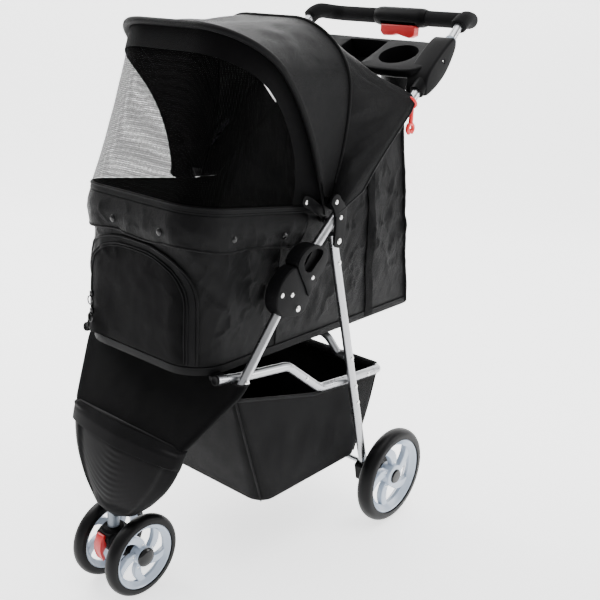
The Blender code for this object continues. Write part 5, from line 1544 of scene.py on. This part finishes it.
def build_basket():
    """Storage basket: a soft bag hung from the rails, bellied sides and a sagging floor."""
    rows = []
    middle = Vector((0, BASKET_MIDDLE, BASKET_FLOOR))
    for r in range(37):
        level = 1 - r / 36
        line = []
        for p in basket_ring(level):
            out = Vector((p.x, p.y - BASKET_MIDDLE, 0)).normalized()
            belly = math.sin(math.pi * min(1.0, 1.08 * (1 - level)))
            wave = folds((p.x + 0.7 * p.y, p.y, p.z), 71.0, (1.0, 1.0, 0.5), 0.070)
            line.append(p + out * (0.0030 * belly + 0.0034 * belly * wave))
        rows.append(line)
    base = rows[-1]
    for share in (0.985, 0.95, 0.88, 0.76, 0.60, 0.42, 0.22, 0.06):
        line = []
        for p in base:
            q = middle + (p - middle) * share
            wave = folds((q.x, q.y, 0), 75.0, (1.0, 1.0, 1.0), 0.080)
            line.append(Vector((q.x, q.y, 0.1360 - 0.0050 * (1 - share ** 2) + 0.0020 * wave * (1 - share))))
        rows.append(line)
    bag = skin(rows, wrap=True)
    choose(bag)
    bpy.ops.object.mode_set(mode="EDIT")
    bpy.ops.mesh.select_all(action="DESELECT")
    bpy.ops.object.mode_set(mode="OBJECT")
    width = len(base)
    for vertex in bag.data.vertices[-width:]:
        vertex.select = True
    bpy.ops.object.mode_set(mode="EDIT")
    bpy.ops.mesh.edge_face_add()
    bpy.ops.object.mode_set(mode="OBJECT")
    weld(bag)
    thicken(bag, 0.0015, -1.0)
    settle(bag, "basket_bag", "cabin_frame", "basket", ["basket"], 60)
    top = basket_ring(1.0, 0.0005)
    hem = [p - Vector((0, 0, 0.001)) for p in top]
    edging(bar(hem + hem[:2], 0.0030, 12, caps=False), "basket_hem")
    for side, s in SIDES:
        for label in ("front", "rear"):
            line = []
            for r in range(30):
                level = 1 - r / 29
                ring = basket_ring(level, 0.0012)
                xs = [p for p in ring if p.x * s > 0.10]
                key = min if label == "front" else max
                edge = key(xs, key=lambda p: p.y + (-abs(p.x) if label == "front" else abs(p.x)))
                out = Vector((edge.x, edge.y - BASKET_MIDDLE, 0)).normalized()
                line.append(edge + out * 0.0030 * math.sin(math.pi * min(1.0, 1.08 * (1 - level))))
            edging(bar(line, 0.0016, 10), f"basket_seam_{label}_{side}")
    wrap = []
    for k in range(41):
        x = -0.150 + 0.300 * k / 40
        wrap.append([(x, *p) for p in arc(BASKET_BAR, CUFF_R, -60, 180, 12)])
    cuff = sewn(wrap, "basket_cuff", "cabin_frame", "basket", wall=0.0014)


def build_pad():
    """Padded floor mat, blown up by a short cloth run and bound round its edge."""
    outline = []
    for u in evenly(-U_END, U_END, 120)[:-1]:
        p = cabin_at(u, CABIN_FLOOR, -0.0085)
        outline.append((p.x, p.y))
    pad = flat_plate(outline, 0.4290, 0.4405, 0.0030, 2)
    choose(pad)
    step = pad.modifiers.new("even", "REMESH")
    step.mode, step.voxel_size = "VOXEL", 0.0055
    apply_all(pad)
    scene = bpy.context.scene
    puff = pad.modifiers.new("puff", "CLOTH")
    puff.settings.use_pressure = True
    puff.settings.uniform_pressure_force = 4.0
    puff.settings.effector_weights.gravity = 0.0
    puff.settings.tension_stiffness = puff.settings.compression_stiffness = 40.0
    puff.settings.shrink_min = -0.02
    puff.point_cache.frame_start, puff.point_cache.frame_end = 1, 20
    for number in range(1, 21):
        scene.frame_set(number)
    apply_all(pad)
    scene.frame_set(1)
    for vertex in pad.data.vertices:
        co = vertex.co
        dent = 0.0010 * (0.5 + 0.5 * math.cos(co.x * 2 * math.pi / 0.088)) ** 6
        vertex.co.z = min(max(co.z, 0.4262), 0.4441 - dent)
    smooth_more(pad, 1)
    settle(pad, "floor_mat", "cabin_frame", "pad", ["floor_pad"], 60)
    edge = [Vector((x, y, 0.4350)) for x, y in outline]
    settle(bar(edge + edge[:1], 0.0026, 10, caps=False), "mat_binding", "cabin_frame",
           "binding", (), 60)


# ---------------------------------------------------------------- stage
CAMERA_TARGET = Vector((0.0211, 0.08455, 0.4307))
CAMERA_AZ, CAMERA_EL, CAMERA_ROLL = math.radians(39.53), math.radians(18.7), math.radians(2.93)
CAMERA_FAR, CAMERA_LENS = 1.7309, 53.90


def camera_axes():
    back = Vector((math.sin(CAMERA_AZ) * math.cos(CAMERA_EL), -math.cos(CAMERA_AZ) * math.cos(CAMERA_EL),
                   math.sin(CAMERA_EL)))
    right = Vector((math.cos(CAMERA_AZ), math.sin(CAMERA_AZ), 0))
    up = back.cross(right)
    c, s = math.cos(CAMERA_ROLL), math.sin(CAMERA_ROLL)
    return c * right + s * up, c * up - s * right, back


def soft_light(name, place, aim, size, power, colour=(1.0, 1.0, 1.0)):
    """Square softbox at a place, aimed at a point."""
    start_clean()
    bpy.ops.object.light_add(type="AREA", location=place)
    lamp = bpy.context.object
    lamp.name = name
    lamp.data.size, lamp.data.energy, lamp.data.color = size, power, colour
    lamp.rotation_euler = (Vector(aim) - Vector(place)).to_track_quat("-Z", "Y").to_euler()
    return lamp


def build_stage():
    """Pale seamless floor, three softboxes, an even sky and the camera."""
    right, up, back = camera_axes()
    away = Vector((-back.x, -back.y, 0)).normalized()
    across = Vector((-away.y, away.x, 0))
    section = [(-4.0, 0.0), (-1.0, 0.0), (2.2, 0.0)]
    section += [(2.2 + 1.2 * math.sin(math.radians(a)), 1.2 - 1.2 * math.cos(math.radians(a)))
                for a in range(9, 91, 9)] + [(3.4, 5.0)]
    rows = [[away * d + across * w + Vector((0, 0, h)) for w in (-6.0, -2.0, 0.0, 2.0, 6.0)]
            for d, h in section]
    floor = skin(rows)
    weld(floor)
    floor.name = "backdrop"
    choose(floor)
    bpy.ops.object.shade_smooth()
    floor.data.materials.append(MATERIALS["floor"])
    camera_data = bpy.data.cameras.new("camera")
    camera_data.lens, camera_data.sensor_width = CAMERA_LENS, 36.0
    camera_data.dof.use_dof = False
    camera = bpy.data.objects.new("camera", camera_data)
    bpy.context.collection.objects.link(camera)
    turn = Matrix((right, up, back)).transposed().to_4x4()
    camera.matrix_world = Matrix.Translation(CAMERA_TARGET + back * CAMERA_FAR) @ turn
    bpy.context.scene.camera = camera
    look = bpy.context.scene.stroller_look
    aim = (0.0, 0.0, 0.45)
    lamps = [soft_light("key_light", (-2.4, -0.4, 2.8), aim, 1.8, 75 * look.light),
             soft_light("side_light", (2.6, 2.3, 1.5), aim, 1.6, 48 * look.light),
             soft_light("top_light", (0.3, 0.3, 3.2), aim, 2.2, 55 * look.light)]
    sky = bpy.data.worlds.new("studio")
    sky.use_nodes = True
    sky.node_tree.nodes["Background"].inputs["Color"].default_value = (1.0, 1.0, 1.0, 1.0)
    sky.node_tree.nodes["Background"].inputs["Strength"].default_value = 0.62 * look.light
    bpy.context.scene.world = sky


# ---------------------------------------------------------------- add-on
class StrollerLook(bpy.types.PropertyGroup):
    """Colours and soft sizes of the stroller's finish."""

    cloth: bpy.props.FloatVectorProperty(
        name="Cloth", description="Colour of the cabin, canopy and basket cloth", subtype="COLOR",
        size=3, min=0.0, max=1.0, default=linear("#060607")[:3])
    accent: bpy.props.FloatVectorProperty(
        name="Accent", description="Colour of the lever, trigger and hook", subtype="COLOR",
        size=3, min=0.0, max=1.0, default=linear("#C4181C")[:3])
    wrinkle: bpy.props.FloatProperty(
        name="Wrinkle Depth", description="Depth of the cabin cloth's folds", subtype="DISTANCE",
        unit="LENGTH", min=0.0, max=0.008, default=0.0058)
    light: bpy.props.FloatProperty(
        name="Light", description="Brightness of the studio lights", min=0.1, max=4.0, default=1.2)


def run_build(context, label, *steps):
    """Run an operator's build steps and stop with an error if they made nothing."""
    if not MATERIALS:
        make_materials(context.scene.stroller_look)
    before = len(bpy.data.objects)
    for step in steps:
        step()
    if len(bpy.data.objects) == before:
        raise RuntimeError(label + " added no object")
    return {"FINISHED"}


class STROLLER_OT_frame_tubes(bpy.types.Operator):
    """Build the steel tubes, axles and caster stem"""

    bl_idname = "stroller.frame_tubes"
    bl_label = "Frame Tubes"
    bl_options = {"REGISTER", "UNDO"}

    def execute(self, context):
        return run_build(context, self.bl_label, build_tubes)


class STROLLER_OT_rivets(bpy.types.Operator):
    """Build the pivot rivets and the rivets on the mouldings"""

    bl_idname = "stroller.rivets"
    bl_label = "Rivets"
    bl_options = {"REGISTER", "UNDO"}

    def execute(self, context):
        return run_build(context, self.bl_label, build_rivets)


class STROLLER_OT_fold_locks(bpy.types.Operator):
    """Build both folding joints with their sliding collars"""

    bl_idname = "stroller.fold_locks"
    bl_label = "Folding Locks"
    bl_options = {"REGISTER", "UNDO"}

    def execute(self, context):
        return run_build(context, self.bl_label, build_locks)


class STROLLER_OT_brackets(bpy.types.Operator):
    """Build the side plates and canopy arms"""

    bl_idname = "stroller.brackets"
    bl_label = "Side Brackets"
    bl_options = {"REGISTER", "UNDO"}

    def execute(self, context):
        return run_build(context, self.bl_label, build_brackets)


class STROLLER_OT_footrest(bpy.types.Operator):
    """Build the ribbed toe cap"""

    bl_idname = "stroller.footrest"
    bl_label = "Footrest"
    bl_options = {"REGISTER", "UNDO"}

    def execute(self, context):
        return run_build(context, self.bl_label, build_footrest)


class STROLLER_OT_leg_panel(bpy.types.Operator):
    """Build the apron wrapped round the front legs"""

    bl_idname = "stroller.leg_panel"
    bl_label = "Leg Panel"
    bl_options = {"REGISTER", "UNDO"}

    def execute(self, context):
        return run_build(context, self.bl_label, build_leg_panel)


class STROLLER_OT_caster(bpy.types.Operator):
    """Build the swivel housing and its red lever"""

    bl_idname = "stroller.caster"
    bl_label = "Caster"
    bl_options = {"REGISTER", "UNDO"}

    def execute(self, context):
        return run_build(context, self.bl_label, build_caster)


class STROLLER_OT_wheels(bpy.types.Operator):
    """Build four tyres on spoked rims"""

    bl_idname = "stroller.wheels"
    bl_label = "Wheels"
    bl_options = {"REGISTER", "UNDO"}

    def execute(self, context):
        return run_build(context, self.bl_label, build_wheels)


class STROLLER_OT_push_handle(bpy.types.Operator):
    """Build the foam grips, release housing and trigger"""

    bl_idname = "stroller.push_handle"
    bl_label = "Push Handle"
    bl_options = {"REGISTER", "UNDO"}

    def execute(self, context):
        return run_build(context, self.bl_label, build_grip)


class STROLLER_OT_cup_tray(bpy.types.Operator):
    """Build the cup tray and its clamps"""

    bl_idname = "stroller.cup_tray"
    bl_label = "Cup Tray"
    bl_options = {"REGISTER", "UNDO"}

    def execute(self, context):
        return run_build(context, self.bl_label, build_tray)


class STROLLER_OT_cabin(bpy.types.Operator):
    """Build the cabin shell with its zips, flap and seams"""

    bl_idname = "stroller.cabin"
    bl_label = "Cabin"
    bl_options = {"REGISTER", "UNDO"}

    def execute(self, context):
        return run_build(context, self.bl_label, build_cabin, build_cabin_trim)


class STROLLER_OT_door(bpy.types.Operator):
    """Build the arched front door"""

    bl_idname = "stroller.door"
    bl_label = "Front Door"
    bl_options = {"REGISTER", "UNDO"}

    def execute(self, context):
        return run_build(context, self.bl_label, build_door)


class STROLLER_OT_canopy(bpy.types.Operator):
    """Build the hoops, hood and rear drape"""

    bl_idname = "stroller.canopy"
    bl_label = "Canopy"
    bl_options = {"REGISTER", "UNDO"}

    def execute(self, context):
        return run_build(context, self.bl_label, build_canopy, build_gussets)


class STROLLER_OT_mesh_window(bpy.types.Operator):
    """Build the see-through front panel"""

    bl_idname = "stroller.mesh_window"
    bl_label = "Mesh Window"
    bl_options = {"REGISTER", "UNDO"}

    def execute(self, context):
        return run_build(context, self.bl_label, build_mesh_window)


class STROLLER_OT_basket(bpy.types.Operator):
    """Build the storage basket"""

    bl_idname = "stroller.basket"
    bl_label = "Basket"
    bl_options = {"REGISTER", "UNDO"}

    def execute(self, context):
        return run_build(context, self.bl_label, build_basket)


class STROLLER_OT_floor_mat(bpy.types.Operator):
    """Build the padded floor mat"""

    bl_idname = "stroller.floor_mat"
    bl_label = "Floor Mat"
    bl_options = {"REGISTER", "UNDO"}

    def execute(self, context):
        return run_build(context, self.bl_label, build_pad)


class STROLLER_OT_transport_hook(bpy.types.Operator):
    """Build the red tether hook"""

    bl_idname = "stroller.transport_hook"
    bl_label = "Transport Hook"
    bl_options = {"REGISTER", "UNDO"}

    def execute(self, context):
        return run_build(context, self.bl_label, build_hook)


class STROLLER_OT_studio(bpy.types.Operator):
    """Build the floor, lights and camera, and dress the frame solids still in view"""

    bl_idname = "stroller.studio"
    bl_label = "Studio"
    bl_options = {"REGISTER", "UNDO"}

    def execute(self, context):
        return run_build(context, self.bl_label, build_stage, dress_carried_nodes)


OPERATORS = (STROLLER_OT_frame_tubes, STROLLER_OT_rivets, STROLLER_OT_fold_locks,
             STROLLER_OT_brackets, STROLLER_OT_footrest, STROLLER_OT_leg_panel,
             STROLLER_OT_caster, STROLLER_OT_wheels, STROLLER_OT_push_handle,
             STROLLER_OT_cup_tray, STROLLER_OT_cabin, STROLLER_OT_door,
             STROLLER_OT_canopy, STROLLER_OT_mesh_window, STROLLER_OT_basket,
             STROLLER_OT_floor_mat, STROLLER_OT_transport_hook, STROLLER_OT_studio)


class STROLLER_PT_panel(bpy.types.Panel):
    """Sidebar panel with the stroller's look and its build steps."""

    bl_idname = "STROLLER_PT_panel"
    bl_label = "Pet Stroller"
    bl_space_type = "VIEW_3D"
    bl_region_type = "UI"
    bl_category = "Stroller"

    def draw(self, context):
        look = context.scene.stroller_look
        for name in ("cloth", "accent", "wrinkle", "light"):
            self.layout.prop(look, name)
        for step in OPERATORS:
            self.layout.operator(step.bl_idname)


CLASSES = (StrollerLook, *OPERATORS, STROLLER_PT_panel)


def register():
    for kind in CLASSES:
        bpy.utils.register_class(kind)
    bpy.types.Scene.stroller_look = bpy.props.PointerProperty(type=StrollerLook)


def unregister():
    del bpy.types.Scene.stroller_look
    for kind in reversed(CLASSES):
        bpy.utils.unregister_class(kind)


def main():
    register()
    for step in OPERATORS:
        group, name = step.bl_idname.split(".")
        getattr(getattr(bpy.ops, group), name)()


if __name__ == "__main__":
    main()
